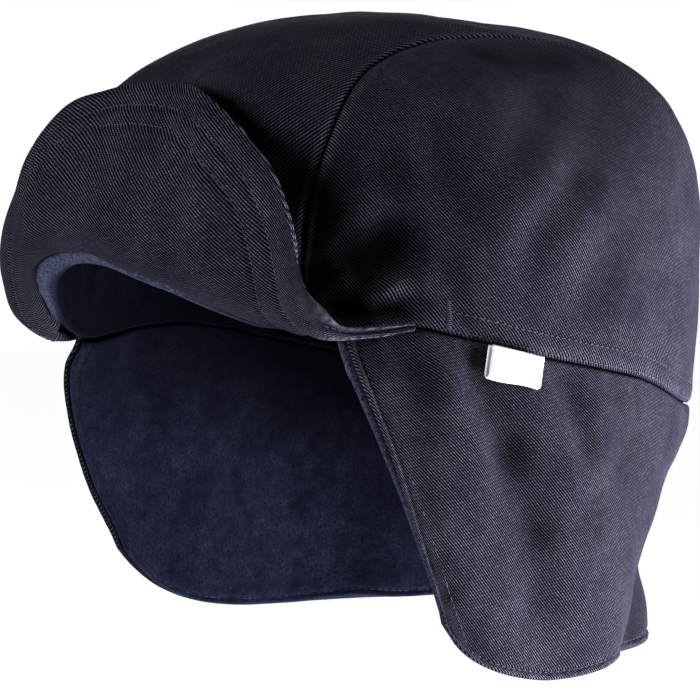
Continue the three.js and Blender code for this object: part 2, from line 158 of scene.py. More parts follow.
# Ridges and grooves: rows of place, half width and height. They run along an edge, in
# millimetres from it, except that the peak's end rows are places out and NEAR_LIFT is in degrees.
RIM_RIDGES = ((0, 0.6, -0.55),)
SEAM_RIDGES = ((0, 0.7, -0.75), (2.2, 1.3, 0.22))
CROWN_STITCH_RIDGES = ((1.2, 0.5, -0.25), (6.4, 0.6, -0.35))
CROWN_GATHER = ((3, 9, 0.5),)
HANG_RIDGES = ((0, 0.7, -0.5),)
FLAP_RIDGES = ((1.17, 1.04, 0.45), (2.6, 0.6, -0.5))
CURTAIN_GATHER = ((3, 10, 0.6),)
FLAP_PUCKER = ((3, 3, 0.2),)
PEAK_RIDGES = ((10.5, 1.6, 0.3), (3.8, 2.2, 0.7), (8, 0.8, -0.6), (14.5, 0.8, -0.6))
PEAK_PUCKER = ((9, 6, 0.25),)
END_RIDGES = ((0.2, 0.16, 0.8), (0.8, 0.14, 0.8), (0.5, 0.13, -1.2))
NEAR_LIFT = ((57, 6, 1.2),)
BAND_HEIGHT = 0.3 * MM
BAND_FADE = 1.6 * MM

# Uneven cloth: height and size of its slow waves in millimetres, and the noise's place.
CROWN_WAVER = (0.35, 11, 3.0)
CURTAIN_WAVER = (0.4, 12, 6.0)
PEAK_WAVER = (0.4, 13, 8.0)

# Abrasion and painted light, in the same rows as the ridges: positive lightens, as scuffed cloth
# and as painted highlights on the peak's end lips; negative is painted shade.
SEAM_WEAR = ((1.8, 1.2, 0.8),)
RIM_WEAR = ((2, 1.5, 0.5),)
FLAP_WEAR = ((1.17, 1.3, 0.9),)
EDGE_WEAR = ((0, 2, 0.7),)
FOLD_WEAR = ((0, 3, 0.3),)
END_HIGHLIGHT_AND_SHADE = ((0.2, 0.13, 3.8), (0.82, 0.12, 3.8), (0.5, 0.1, -0.9))
# Painted shade in hollows, along the far flap's front edge, in the neck fold and inside the
# linings, and the painted highlight on the plush strips below the rim.
CREASE_DEPTH = 6 * MM
DARKEST_CREASE_SHADE = 0.75
CURTAIN_CREASE_SHADE = 0.8
FAR_EDGE_SHADE = 0.5
NECK_SHADE = 0.5
NECK_LINE = (0.378, 0.0945, 0.032)
DEEP_PLUSH_SHADE = 0.93
CURTAIN_SHADE = (0.45, 0.9)
LIT_DEPTH = (-1 * MM, 1 * MM)
LIT_START = (-47, -33)
LIT_END = (20, 40)

# The weave: turns of the ribs in degrees, and how the cloth lies on the crown and the curtain.
TWILL_TURNS = {"side": -41, "middle": -75, "curtain": -36, "peak": -64}
CLOTH_RADIUS = 92 * MM
MIDDLE_SCALE = 0.78
SIDE_FACING = (0.1, 0.35)
SIDE_WRAP = 0.75
EAR_SHARES = (0.15, 0.85)

# The folded tag in the side seam.
TAG_LENGTH = 18.5 * MM
TAG_DROP = 9.6 * MM
TAG_CLOTH = 0.6 * MM
TAG_HOLLOW = 1.5 * MM
TAG_STAND = 0.45 * MM
TAG_ANGLE = 83.2


def table(columns, *rows):
    """A table as a dictionary of its named columns."""
    return dict(zip(columns.split(), np.array(rows, float).T))


# Height of the rim: shares of the rise at the forehead, and of the drop at the nape.
RIM_LINE = table(
    "angle left right",
    (0, 1, 1),
    (20, 0.8, 0.77),
    (30, 0.6, 0.53),
    (40, 0.38, 0.2),
    (53, 0.14, -0.17),
    (66, 0.165, -0.13),
    (74, 0.05, -0.09),
    (86, -0.15, -0.12),
    (98, -0.33, -0.3),
    (112, -0.52, -0.5),
    (130, -0.84, -0.82),
    (150, -0.97, -0.97),
    (180, -1, -1),
)

# Half the middle panel's width from front to back: shares of the reach and of the half width.
MIDDLE_PANEL = table(
    "along across",
    (-1.1, 0.78),
    (-0.63, 0.735),
    (-0.38, 0.62),
    (-0.08, 0.57),
    (0.3, 0.52),
    (0.7, 0.49),
    (1.1, 0.46),
)

# Soft dents in the crown, as shares of its reaches, with size and depth as shares of HALF_WIDTH.
CROWN_DENTS = table(
    "across along up size depth",
    (0.3, 0.3, 0.95, 0.26, 0.04),
    (0.85, -0.22, 0.6, 0.2, 0.03),
    (0.9, 0.15, 0.62, 0.16, 0.022),
    (0.93, -0.42, 0.25, 0.17, 0.045),
    (0.75, 0.62, 0.45, 0.2, 0.018),
    (-0.35, 0.25, 0.95, 0.24, 0.03),
    (-0.9, -0.1, 0.6, 0.22, 0.03),
    (-0.85, 0.45, 0.5, 0.2, 0.022),
    (0.05, 1, 0.35, 0.25, 0.025),
    (0, -0.95, 0.5, 0.4, 0.055),
)

# The curtain's hem from the flap's front edge to the nape: drops as shares of CURTAIN_DROP.
HEM_LINE = table(
    "rim hem left right",
    (53, 71.5, 0.805, 0.775),
    (56, 74.5, 0.875, 0.84),
    (61, 79, 0.93, 0.91),
    (68, 85, 0.97, 0.965),
    (78, 92.5, 0.998, 0.995),
    (96, 105, 0.995, 1.005),
    (112, 117, 0.98, 1),
    (124, 127, 0.99, 0.99),
    (150, 151, 0.985, 0.98),
    (180, 180, 0.975, 0.975),
)

# How far the curtain stands out at each drop: shares of HALF_WIDTH and of BACK_REACH.
CURTAIN_SECTIONS = table(
    "drop side back",
    (0, 0.99, 0.98),
    (0.2, 1, 0.968),
    (0.34, 1, 0.932),
    (0.4, 1, 0.9),
    (0.47, 1, 0.848),
    (0.6, 1, 0.795),
    (0.7, 0.995, 0.758),
    (0.78, 0.99, 0.757),
    (0.88, 0.98, 0.785),
    (1, 0.975, 0.785),
)

# How far the front edge of each flap stands out: shares of FLAP_FLARE.
FLAP_SPREAD = table(
    "down left right",
    (0, 0, 0),
    (0.14, 0.8, 0.65),
    (0.4, 0.95, 1.1),
    (0.7, 0.6, 1.1),
    (1, 0.35, 0.8),
)

# Folds that run down the curtain, in degrees, with depth as a share of HALF_WIDTH.
CURTAIN_FOLDS = table(
    "top hem width start depth",
    (148, 124, 11, 0.5, 0.08),
    (72, 92, 9, 0.1, 0.03),
    (-146, -127, 10, 0.5, 0.06),
    (-80, -92, 9, 0.15, 0.025),
    (178, 176, 12, 0.35, 0.03),
)

# The peak's free edge: shares of HALF_WIDTH, FRONT_REACH, CROWN_HEIGHT and PEAK_DEPTH.
PEAK_EDGE = table(
    "angle across ahead up roll",
    (-66, -0.95, 0.5, -0.015, 0.02),
    (-60, -0.945, 0.64, -0.02, 0.08),
    (-56, -0.935, 0.73, 0.02, 0.14),
    (-52, -0.93, 0.79, 0.1, 0.22),
    (-48, -0.92, 0.815, 0.2, 0.27),
    (-45, -0.885, 0.815, 0.32, 0.29),
    (-42, -0.79, 0.808, 0.455, 0.29),
    (-38, -0.663, 0.822, 0.571, 0.27),
    (-27, -0.419, 0.832, 0.698, 0.26),
    (-13, -0.198, 0.832, 0.746, 0.25),
    (0, 0, 0.827, 0.767, 0.25),
    (13, 0.198, 0.832, 0.767, 0.25),
    (27, 0.419, 0.832, 0.741, 0.25),
    (38, 0.663, 0.822, 0.608, 0.23),
    (42, 0.785, 0.805, 0.495, 0.21),
    (45, 0.86, 0.795, 0.345, 0.18),
    (49, 0.878, 0.775, 0.21, 0.14),
    (53, 0.868, 0.745, 0.11, 0.1),
    (57, 0.872, 0.66, 0.06, 0.06),
    (60, 0.9, 0.57, 0.055, 0.04),
    (66, 0.95, 0.44, 0.065, 0.02),
)

# Shallow waves across the peak, in degrees, with depth as a share of PEAK_DEPTH.
PEAK_WAVES = table(
    "angle width depth",
    (16, 9, 0.045),
    (-9, 9, 0.03),
    (38, 7, 0.02),
)

# How far the crown's plush reaches below the rim: shares of LINING_PEEP.
LINING_EDGE = table(
    "angle below",
    (0, 1),
    (38, 1),
    (49, 0.35),
    (66, 0.35),
)

# Folds of the crown's near side, each along a line over its face: angles and lifts of its two
# ends, then the fold's half width and height in millimetres. Negative heights are hollows.
CROWN_FOLDS = table(
    "from from_up to to_up width height",
    (46.2, 0.175, 50.2, 0.035, 14, -5),
    (57, 0.062, 61, 0.067, 9, -4.5),
    (54.2, 0.022, 63.2, 0.017, 5, -3),
    (52.2, 0.062, 54.5, 0.042, 5, 1.5),
    (54.5, 0.04, 51, 0.027, 5, 1.2),
    (58.8, 0.027, 62.8, 0.035, 4, 1.8),
    (62.8, 0.035, 66.8, 0.04, 4, 1.4),
    (61.2, 0.229, 63.8, 0.09, 8, -2.5),
    (67.8, 0.324, 73.8, 0.165, 9, -2),
    (55.2, 0.1, 60.8, 0.127, 6, 1.2),
    (91.2, 0.414, 84.5, 0.284, 7, -1.2),
    (93.8, 0.207, 86.8, 0.09, 7, -1.6),
    (92.5, 0.289, 83, 0.117, 8, 0.9),
    (100, 0.202, 91.8, 0.08, 9, 0.9),
    (79, 0.516, 79, 0.282, 10, 1.2),
    (103, 0.097, 96.2, 0.06, 8, -1),
    (67, 0.045, 71.5, 0.01, 4, 0.9),
    (63.8, 0.005, 70.8, 0, 3, -1),
    (72.5, 0.057, 74, 0.017, 4, -0.7),
    (84.2, 0.611, 100, 0.608, 8, -2.6),
    (69.2, 0.441, 64.2, 0.264, 8, 1),
    (80.5, 0.075, 84, 0.027, 10, 0.7),
    (118, 0.389, 116, 0.142, 12, 0.8),
)

# Folds of the near flap, in the same way: places across and down the curtain.
FLAP_FOLDS = table(
    "from from_up to to_up width height",
    (0.085, 0.138, 0.095, 0.308, 7, -2),
    (0.095, 0.308, 0.105, 0.539, 7, -2),
    (0.105, 0.539, 0.1, 0.734, 8, -1.2),
    (0.063, 0.135, 0.066, 0.356, 8, 1.3),
    (0.152, 0.058, 0.162, 0.248, 5, -1.6),
    (0.13, 0.14, 0.142, 0.376, 7, 1.1),
    (0.041, 0.103, 0.032, 0.281, 7, -1.6),
    (0.019, 0.401, 0.012, 0.792, 4, -0.8),
    (0.011, 0.83, 0.029, 0.985, 4, -1.2),
    (0.176, 0.168, 0.189, 0.434, 8, 0.8),
    (0.208, 0.263, 0.173, 0.496, 9, -0.9),
    (0.06, 0.055, 0.054, 0.193, 6, 1),
    (0.05, 0.479, 0.055, 0.769, 9, 0.8),
)

# Folds of the peak, in the same way: angles and places out from its fold.
PEAK_FOLDS = table(
    "from from_up to to_up width height",
    (26, 0.749, 25.8, 0.314, 5, -1.3),
    (30.3, 0.789, 32.3, 0.438, 8, 0.7),
    (3, 0.689, -0.7, 0.478, 9, -0.9),
    (25.7, 0.913, 26, 0.783, 2.5, -0.8),
    (11.7, 0.666, 13.5, 0.331, 9, 0.7),
    (-27.7, 0.799, -19.4, 0.475, 5, -0.8),
)

# The peak's free edge in section: two rolled layers with a groove between them. Inset is in
# millimetres from the edge, depth a share of the wall.
EDGE_LIPS = table(
    "inset depth",
    (1.3, 0.01),
    (0.75, 0.04),
    (0.4, 0.1),
    (0.12, 0.19),
    (0, 0.29),
    (0.1, 0.38),
    (0.4, 0.46),
    (0.75, 0.5),
)


def rows_of(rows):
    """The rows of a table, each as a dictionary."""
    names = list(rows)
    return [dict(zip(names, values)) for values in zip(*rows.values())]


def read_table(rows, key, column, at):
    """A smooth curve through one column of a table, level at both ends."""
    xs, ys = rows[key], rows[column]
    slopes = np.zeros_like(ys)
    slopes[1:-1] = (ys[2:] - ys[:-2]) / (xs[2:] - xs[:-2])
    x = np.clip(at, xs[0], xs[-1])
    i = np.clip(np.searchsorted(xs, x, side="right") - 1, 0, len(xs) - 2)
    step = xs[i + 1] - xs[i]
    t = (x - xs[i]) / step
    rest = 1 - t
    return (
        ys[i] * rest * rest * (1 + 2 * t)
        + slopes[i] * step * t * rest * rest
        + ys[i + 1] * t * t * (3 - 2 * t)
        - slopes[i + 1] * step * t * t * rest
    )


def bell(distance, width):
    return np.exp(-((distance / width) ** 2))


def ridges(rows, at):
    """Ridges and grooves along a line: each row is a place, a half width and a height."""
    return sum(height * bell(at - place, width) for place, width, height in rows)


def signed_power(value, power):
    return np.sign(value) * np.abs(value) ** power


def smoothstep(x, low, high):
    t = np.clip((x - low) / (high - low), 0, 1)
    return t * t * (3 - 2 * t)


def lerp(a, b, share):
    return a + (b - a) * share


def stack(*parts):
    """Coordinates put together as points, on a new last axis."""
    return np.stack(np.broadcast_arrays(*parts), axis=-1)


def unit(vectors):
    length = np.linalg.norm(vectors, axis=-1, keepdims=True)
    return vectors / np.maximum(length, 1e-12)


def chord(points, others):
    return np.linalg.norm(points - others, axis=-1)


def moved(points, normals, amount):
    return points + normals * amount[..., None]


# The faces of the cap, each a function of two coordinates that takes arrays.
def rim_height(angle):
    side = np.abs(angle)
    left = read_table(RIM_LINE, "angle", "left", side)
    right = read_table(RIM_LINE, "angle", "right", side)
    share = np.where(angle < 0, right, left)
    return share * np.where(share > 0, FOREHEAD_RISE, NAPE_DROP)


def oval_point(angle, side, front, back, height):
    turn = np.radians(angle)
    x = side * signed_power(np.sin(turn), 2 / OVAL_FULLNESS)
    y = -signed_power(np.cos(turn), 2 / OVAL_FULLNESS)
    return stack(x, y * np.where(y < 0, front, back), height)


def crown_spread(height):
    reach = np.where(height > WIDEST_HEIGHT, CROWN_HEIGHT - WIDEST_HEIGHT, TAPER_DEPTH)
    share = np.minimum(np.abs(height - WIDEST_HEIGHT) / reach, 1)
    return (1 - share**DOME_FULLNESS) ** (1 / DOME_FULLNESS)


def dented(points):
    inward = unit(np.array([0, 0, WIDEST_HEIGHT]) - points)
    for dent in rows_of(CROWN_DENTS):
        reach = FRONT_REACH if dent["along"] < 0 else BACK_REACH
        place = np.array(
            [dent["across"] * HALF_WIDTH, dent["along"] * reach, dent["up"] * CROWN_HEIGHT]
        )
        depth = dent["depth"] * HALF_WIDTH * bell(chord(points, place), dent["size"] * HALF_WIDTH)
        points = points + inward * depth[..., None]
    return points


def crown_point(angle, lift, lower=0.0):
    """The crown's outer face: lift is 0 at the rim and 1 at the top."""
    rise = CROWN_HEIGHT - WIDEST_HEIGHT
    rim = rim_height(angle) - lower
    share = (rim - WIDEST_HEIGHT) / np.where(rim > WIDEST_HEIGHT, rise, TAPER_DEPTH)
    start = np.arcsin(signed_power(share, DOME_FULLNESS / 2))
    tilt = start + (math.pi / 2 - start) * lift
    sine = signed_power(np.sin(tilt), 2 / DOME_FULLNESS)
    height = WIDEST_HEIGHT + sine * np.where(sine > 0, rise, TAPER_DEPTH)
    spread = crown_spread(height)
    points = oval_point(
        angle, HALF_WIDTH * spread, FRONT_REACH * spread, BACK_REACH * spread, height
    )
    risen = np.maximum((height - WIDEST_HEIGHT) / rise, 0)
    points[..., 1] += CROWN_LEAN * risen**LEAN_POWER
    return dented(points)


def curtain_point(across, down):
    """The curtain's outer face: across from the left front edge round to the right one."""
    right = across > 0.5
    side = np.where(right, -1, 1)
    half = np.where(right, 1 - across, across)
    rim_angle = TEMPLE_ANGLE + (180 - TEMPLE_ANGLE) * 2 * half
    hem_angle = read_table(HEM_LINE, "rim", "hem", rim_angle)
    angle = rim_angle + (hem_angle - rim_angle) * np.maximum(down, 0) ** HEM_SWEEP_POWER
    top = rim_height(rim_angle * side) - SEAM_GAP

    def both(rows, key, at):
        sides = (read_table(rows, key, side, at) for side in ("right", "left"))
        return np.where(right, *sides)

    hem = -both(HEM_LINE, "rim", rim_angle) * CURTAIN_DROP
    height = top + (hem - top) * down
    drop = np.maximum(-height / CURTAIN_DROP, 0)
    blend = smoothstep(top - height, 0, RIM_BLEND)
    rim_spread = crown_spread(top)

    def spread(column):
        return lerp(rim_spread, read_table(CURTAIN_SECTIONS, "drop", column, drop), blend)

    flare = FLAP_FLARE * bell(rim_angle - TEMPLE_ANGLE, FLARE_DEGREES)
    flare = flare * both(FLAP_SPREAD, "down", down)
    fold = 0
    for row in rows_of(CURTAIN_FOLDS):
        share = np.clip((drop - row["start"]) / (1 - row["start"]), 0, 1)
        middle = lerp(row["top"], row["hem"], share)
        gap = np.abs((angle * side - middle + 540) % 360 - 180)
        fold = fold + row["depth"] * HALF_WIDTH * share**FOLD_POWER * bell(gap, row["width"])
    stand = flare - fold
    return oval_point(
        angle * side,
        HALF_WIDTH * spread("side") + stand,
        FRONT_REACH * spread("side") + FLARE_FORWARD * stand,
        BACK_REACH * spread("back") + stand,
        height,
    )


def peak_thickness(angle):
    end = smoothstep(np.abs(angle), TEMPLE_ANGLE - THIN_START, PEAK_END_ANGLE)
    return lerp(PEAK_WALL, PEAK_END_WALL, end)


def tucked_share(angle):
    """1 where the peak's base is tucked under the rim, 0 where it stands outside the crown."""
    return 1 - smoothstep(np.abs(angle), TEMPLE_ANGLE - TUCK_START, TEMPLE_ANGLE - TUCK_END)


def brow(angle, out):
    """The rim behind each place on the peak, and the level direction straight out from it."""
    rim = crown_point(angle, 0 * out)
    return rim, unit(stack(rim[..., 0] / HALF_WIDTH, rim[..., 1] / FRONT_REACH, 0 * angle * out))


def peak_point(angle, out):
    """The peak's outer face: out is 0 at the fold and 1 at the free edge."""
    tucked = tucked_share(angle)
    rim, facing = brow(angle, out)
    wall = peak_thickness(angle)
    fold = rim + facing * lerp(wall + OPEN_SET, TUCK_SET, tucked)[..., None]
    fold[..., 2] -= lerp(wall, wall + PEAK_SEAT, tucked)
    edge = stack(
        read_table(PEAK_EDGE, "angle", "across", angle) * HALF_WIDTH,
        -read_table(PEAK_EDGE, "angle", "ahead", angle) * FRONT_REACH,
        read_table(PEAK_EDGE, "angle", "up", angle) * CROWN_HEIGHT,
    )
    share = (chord(edge, fold) / PEAK_DEPTH)[..., None]
    reach = (read_table(PEAK_EDGE, "angle", "roll", angle) * PEAK_DEPTH)[..., None]
    roll = fold + facing * reach - np.array([0, 0, ROLL_SAG]) * share
    belly = lerp(fold, edge, BELLY_PLACE) + facing * PEAK_BELLY * share
    t = np.broadcast_to(out, fold.shape[:-1])[..., None]
    rest = 1 - t
    points = rest**3 * fold + 3 * rest**2 * t * roll + 3 * rest * t**2 * belly + t**3 * edge
    wave = 0
    for row in rows_of(PEAK_WAVES):
        wave = wave + row["depth"] * PEAK_DEPTH * bell(angle - row["angle"], row["width"])
    return points - facing * (wave * np.sin(math.pi / 2 * out) ** 2)[..., None]


def face_normal(face, u, v, turn, step_u, step_v=1e-3):
    """The outward normal of a face, by small steps along both of its coordinates."""
    along = face(u + step_u, v) - face(u - step_u, v)
    up = face(u, np.minimum(v + step_v, 1)) - face(u, np.maximum(v - step_v, 0))
    return unit(np.cross(along, up)) * turn


def crown_normal(angle, lift, lower=0.0):
    def face(a, l):
        return crown_point(a, l, lower)

    normal = face_normal(face, angle, np.minimum(lift, 0.995), 1, 0.2)
    top = np.clip((lift - 0.97) / 0.03, 0, 1)[..., None]
    return unit(lerp(normal, np.array([0.0, 0.0, 1.0]), top))


def curtain_normal(across, down):
    return face_normal(curtain_point, across, down, -1, 1e-3)


# Spacing along an edge, and lengths over a face.
def graded(length, fine, coarse, band):
    """Shares from 0 to 1 with fine steps in a band at each end and coarse ones between."""
    ends = np.arange(0, band, fine)
    middle = np.linspace(band, length - band, max(int((length - 2 * band) / coarse), 2))
    return np.concatenate([ends, middle, (length - ends)[::-1]]) / length


def travelled(points, axis):
    """Distance covered along one axis of a grid of points, from its first row."""
    step = np.linalg.norm(np.diff(points, axis=axis), axis=-1)
    start = np.zeros_like(np.take(step, [0], axis=axis))
    return np.concatenate([start, np.cumsum(step, axis=axis)], axis=axis)


def evenly(path, extra, count):
    """A path resampled to equal steps, with the values that go with each of its points."""
    along = travelled(path, 0)
    at = np.linspace(0, along[-1], count)
    return np.stack([np.interp(at, along, column) for column in extra.T], axis=-1)


# Meshes.
def cloth_grid(name, places, cloth, wear_and_painted_light=None):
    """A piece of cloth as a grid: a vertex at each place, with cloth coordinates as its UV map.

    Rows or columns that fall on the same places are merged, which closes a body.
    """
    columns, rows = places.shape[0] - 1, places.shape[1] - 1
    bm = bmesh.new()
    bmesh.ops.create_grid(bm, x_segments=columns, y_segments=rows, size=1)
    uv_layer = bm.loops.layers.uv.new("cloth")
    # Each vertex's abrasion, painted highlight and painted shade, as one attribute.
    wear_and_painted_light_layer = bm.verts.layers.float.new("wear_and_painted_light")
    cells = {}
    for vert in bm.verts:
        i = round((vert.co.x + 1) / 2 * columns)
        j = round((vert.co.y + 1) / 2 * rows)
        cells[vert.index] = (i, j)
        vert.co = places[i, j]
        if wear_and_painted_light is not None:
            vert[wear_and_painted_light_layer] = wear_and_painted_light[i, j]
    for face in bm.faces:
        face.smooth = True
        for loop in face.loops:
            loop[uv_layer].uv = cloth[cells[loop.vert.index]]
    bmesh.ops.remove_doubles(bm, verts=bm.verts, dist=2e-6)
    bmesh.ops.recalc_face_normals(bm, faces=bm.faces)
    return finish_mesh(name, bm)


def finish_mesh(name, bm):
    mesh = bpy.data.meshes.new(name)
    bm.to_mesh(mesh)
    bm.free()
    piece = bpy.data.objects.new(name, mesh)
    bpy.context.scene.collection.objects.link(piece)
    return piece


def two_faced(outer, inner):
    """Both faces of a wall as one grid: down the outer face and back up the inner one."""
    return np.concatenate([outer, inner[:, ::-1]], axis=1)


def rounded(distance, radius):
    """A quarter round: 0 at the edge, 1 from a radius inwards."""
    rest = 1 - np.clip(distance / radius, 0, 1)
    return np.sqrt(1 - rest * rest)


def wall_body(name, outer, inner, edge, radius, cloth, wear_and_painted_light):
    """A wall between two faces, closed round its edges: edge is each place's distance to them."""
    middle = (outer + inner) / 2
    share = rounded(edge, radius)[..., None]
    places = two_faced(lerp(middle, outer, share), lerp(middle, inner, share))
    return cloth_grid(name, places, two_faced(cloth, cloth), two_faced(wear_and_painted_light, wear_and_painted_light))


def dress(piece, material, slot, *nodes):
    """Gives a piece its material and its place on the cap, and hides the solids it stands for."""
    piece.data.materials.append(material)
    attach(piece, BODY)
    if nodes:
        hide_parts(*nodes)


def folds(rows, face, points):
    """Height of a table's folds at each point, measured from lines that run over the face."""
    along = np.linspace(0, 1, 14)
    height = 0
    for row in rows_of(rows):
        spine = face(lerp(row["from"], row["to"], along), lerp(row["from_up"], row["to_up"], along))
        gap = np.min([chord(points, place) for place in spine], axis=0)
        height = height + row["height"] * MM * bell(gap, row["width"] * MM)
    return height


def both_sides(rows, face, points):
    """Folds of the near side, and shallower ones like them on the far side."""
    mirrored = points * np.array([-1, 1, 1])
    return folds(rows, face, points) + FAR_FOLD_SHARE * folds(rows, face, mirrored)


def flap_folds(points, edge):
    return both_sides(FLAP_FOLDS, curtain_point, points) * smoothstep(edge, 0, FOLD_FADE)


def crown_folds(points, rim_gap):
    return both_sides(CROWN_FOLDS, crown_point, points) * smoothstep(rim_gap, 0, 5 * MM)


def crease_shade(fold):
    """Painted shade in a hollow: how much darker its cloth is painted."""
    return np.clip(-fold / CREASE_DEPTH, 0, DARKEST_CREASE_SHADE)


def ripple(points, size, seed):
    """Smooth noise from -1 to 1 over a grid of points."""
    flat = points.reshape(-1, 3) / size + seed
    values = [noise.noise(Vector(p)) for p in flat]
    return np.array(values).reshape(points.shape[:-1])


def waver(points, height, size, seed):
    """Slow waves of uneven cloth, with height and size in millimetres."""
    return height * MM * ripple(points, size * MM, seed)


# Node trees.
def plug(tree, socket, value):
    if isinstance(value, bpy.types.NodeSocket):
        tree.links.new(value, socket)
    elif value is not None:
        socket.default_value = value


def add(tree, kind, settings=None, **inputs):
    node = tree.nodes.new(kind)
    for key, value in (settings or {}).items():
        setattr(node, key, value)
    for key, value in inputs.items():
        plug(tree, node.inputs[key.replace("_", " ")], value)
    return node


def calc(tree, operation, *values):
    node = tree.nodes.new("ShaderNodeMath")
    node.operation = operation
    for socket, value in zip(node.inputs, values):
        plug(tree, socket, value)
    return node.outputs[0]


def blend(tree, share, first, second):
    node = tree.nodes.new("ShaderNodeMix")
    node.data_type = "RGBA"
    plug(tree, node.inputs["Factor"], share)
    plug(tree, node.inputs[6], first)
    plug(tree, node.inputs[7], second)
    return node.outputs[2]


def rescale(tree, value, low, high, to_low, to_high):
    node = tree.nodes.new("ShaderNodeMapRange")
    plug(tree, node.inputs["Value"], value)
    numbers = {"From Min": low, "From Max": high, "To Min": to_low, "To Max": to_high}
    for key, number in numbers.items():
        plug(tree, node.inputs[key], number)
    return node.outputs["Result"]


def grain(tree, vector, scale, detail=2.0, roughness=0.5):
    node = add(
        tree, "ShaderNodeTexNoise", Vector=vector, Scale=scale, Detail=detail, Roughness=roughness
    )
    return node.outputs[0]


def new_material(name, roughness, sheen, sheen_roughness, sheen_tint, gloss=0.05):
    material = bpy.data.materials.new(name)
    material.use_nodes = True
    tree = material.node_tree
    shader = tree.nodes["Principled BSDF"]
    shader.inputs["Roughness"].default_value = roughness
    shader.inputs["Specular IOR Level"].default_value = gloss
    shader.inputs["Sheen Weight"].default_value = sheen
    shader.inputs["Sheen Roughness"].default_value = sheen_roughness
    shader.inputs["Sheen Tint"].default_value = (*sheen_tint, 1)
    return material, tree, shader


def finish_material(tree, shader, colour, relief, strength, depth):
    """Gives a material its colour, and the relief that catches the light."""
    bump = add(tree, "ShaderNodeBump", Strength=strength, Distance=depth, Height=relief)
    plug(tree, shader.inputs["Base Color"], colour)
    plug(tree, shader.inputs["Normal"], bump.outputs[0])


def wear_and_painted_light_mix(tree, colour, share, light, dark):
    """Cloth lightened where the attribute is positive, by abrasion and by painted highlights, and
    darkened by painted shade where it is negative.
    """
    wear_and_painted_light = add(tree, "ShaderNodeAttribute", {"attribute_name": "wear_and_painted_light"}).outputs["Fac"]
    colour = blend(tree, calc(tree, "MULTIPLY", wear_and_painted_light, share), colour, (*light, 1))
    return blend(tree, calc(tree, "MULTIPLY", wear_and_painted_light, -1), colour, (*dark, 1))


def millimetres(tree, source, turn=0.0):
    """The cloth or object coordinates in millimetres, turned by an angle."""
    if source == "cloth":
        start = add(tree, "ShaderNodeUVMap", {"uv_map": "cloth"}).outputs[0]
    else:
        start = tree.nodes.new("ShaderNodeTexCoord").outputs["Object"]
    scale = 1 / MM
    mapping = add(
        tree, "ShaderNodeMapping", Vector=start, Scale=(scale, scale, scale), Rotation=(0, 0, turn)
    )
    return mapping.outputs[0]


def twill_material(part, look):
    """Straight diagonal ribs of short yarn floats, each a little lighter or darker."""
    name = "navy_twill_" + part
    material, tree, shader = new_material(name, 0.8, look.sheen, 0.5, look.fleck)
    cloth = millimetres(tree, "cloth", math.radians(TWILL_TURNS[part]))
    solid = millimetres(tree, "object")
    wander = calc(tree, "MULTIPLY", grain(tree, cloth, 0.15), 0.6)
    split = add(tree, "ShaderNodeSeparateXYZ", Vector=cloth)
    rib = calc(tree, "DIVIDE", calc(tree, "ADD", split.outputs[0], wander), look.rib_pitch / MM)
    rib_number = calc(tree, "FLOOR", rib)
    rib_share = calc(tree, "FRACT", rib)
    stagger = calc(tree, "ADD", calc(tree, "MULTIPLY", rib_number, 0.38), rib_share)
    place = calc(tree, "DIVIDE", split.outputs[1], look.float_length / MM)
    place = calc(tree, "ADD", place, stagger)
    float_number = calc(tree, "FLOOR", place)
    float_share = calc(tree, "FRACT", place)

    def hump(share, power):
        parabola = calc(tree, "MULTIPLY", share, calc(tree, "SUBTRACT", 1, share))
        return calc(tree, "POWER", calc(tree, "MULTIPLY", parabola, 4), power)

    bulge = rescale(tree, hump(float_share, 0.7), 0, 1, 0.3, 1)
    height = calc(tree, "MULTIPLY", hump(rib_share, 4), bulge)
    cell = add(tree, "ShaderNodeCombineXYZ", X=rib_number, Y=float_number)
    chance = add(
        tree, "ShaderNodeTexWhiteNoise", {"noise_dimensions": "2D"}, Vector=cell.outputs[0]
    ).outputs[0]
    mottle = rescale(tree, grain(tree, solid, 0.06, 4.0), 0.3, 0.7, 0, 1)
    yarn = blend(tree, mottle, (*look.shade, 1), (*look.yarn, 1))
    fleck = calc(tree, "MULTIPLY", calc(tree, "POWER", chance, look.fleck_rarity), 0.07)
    yarn = blend(tree, fleck, yarn, (*look.fleck, 1))
    shown = calc(tree, "MULTIPLY", height, rescale(tree, chance, 0, 1, 0.72, 1))
    colour = blend(tree, shown, (*look.gap, 1), yarn)
    # The light mix is abrasion on the float tops plus painted highlights on the peak's end lips;
    # the dark mix is painted shade in hollows and folds, towards the gap colour.
    rubbed_and_lit = rescale(tree, grain(tree, solid, 0.5, 3.0), 0.35, 0.65, 0, 1)
    rubbed_and_lit = calc(tree, "MULTIPLY", calc(tree, "MULTIPLY", rubbed_and_lit, look.wear_and_painted_light_mix), height)
    colour = wear_and_painted_light_mix(tree, colour, rubbed_and_lit, look.fleck, look.gap)
    fuzz = calc(tree, "MULTIPLY", grain(tree, cloth, 6.0, 3.0), 0.35)
    height = calc(tree, "ADD", height, fuzz)
    finish_material(tree, shader, colour, height, look.relief, look.rib_height)
    return material


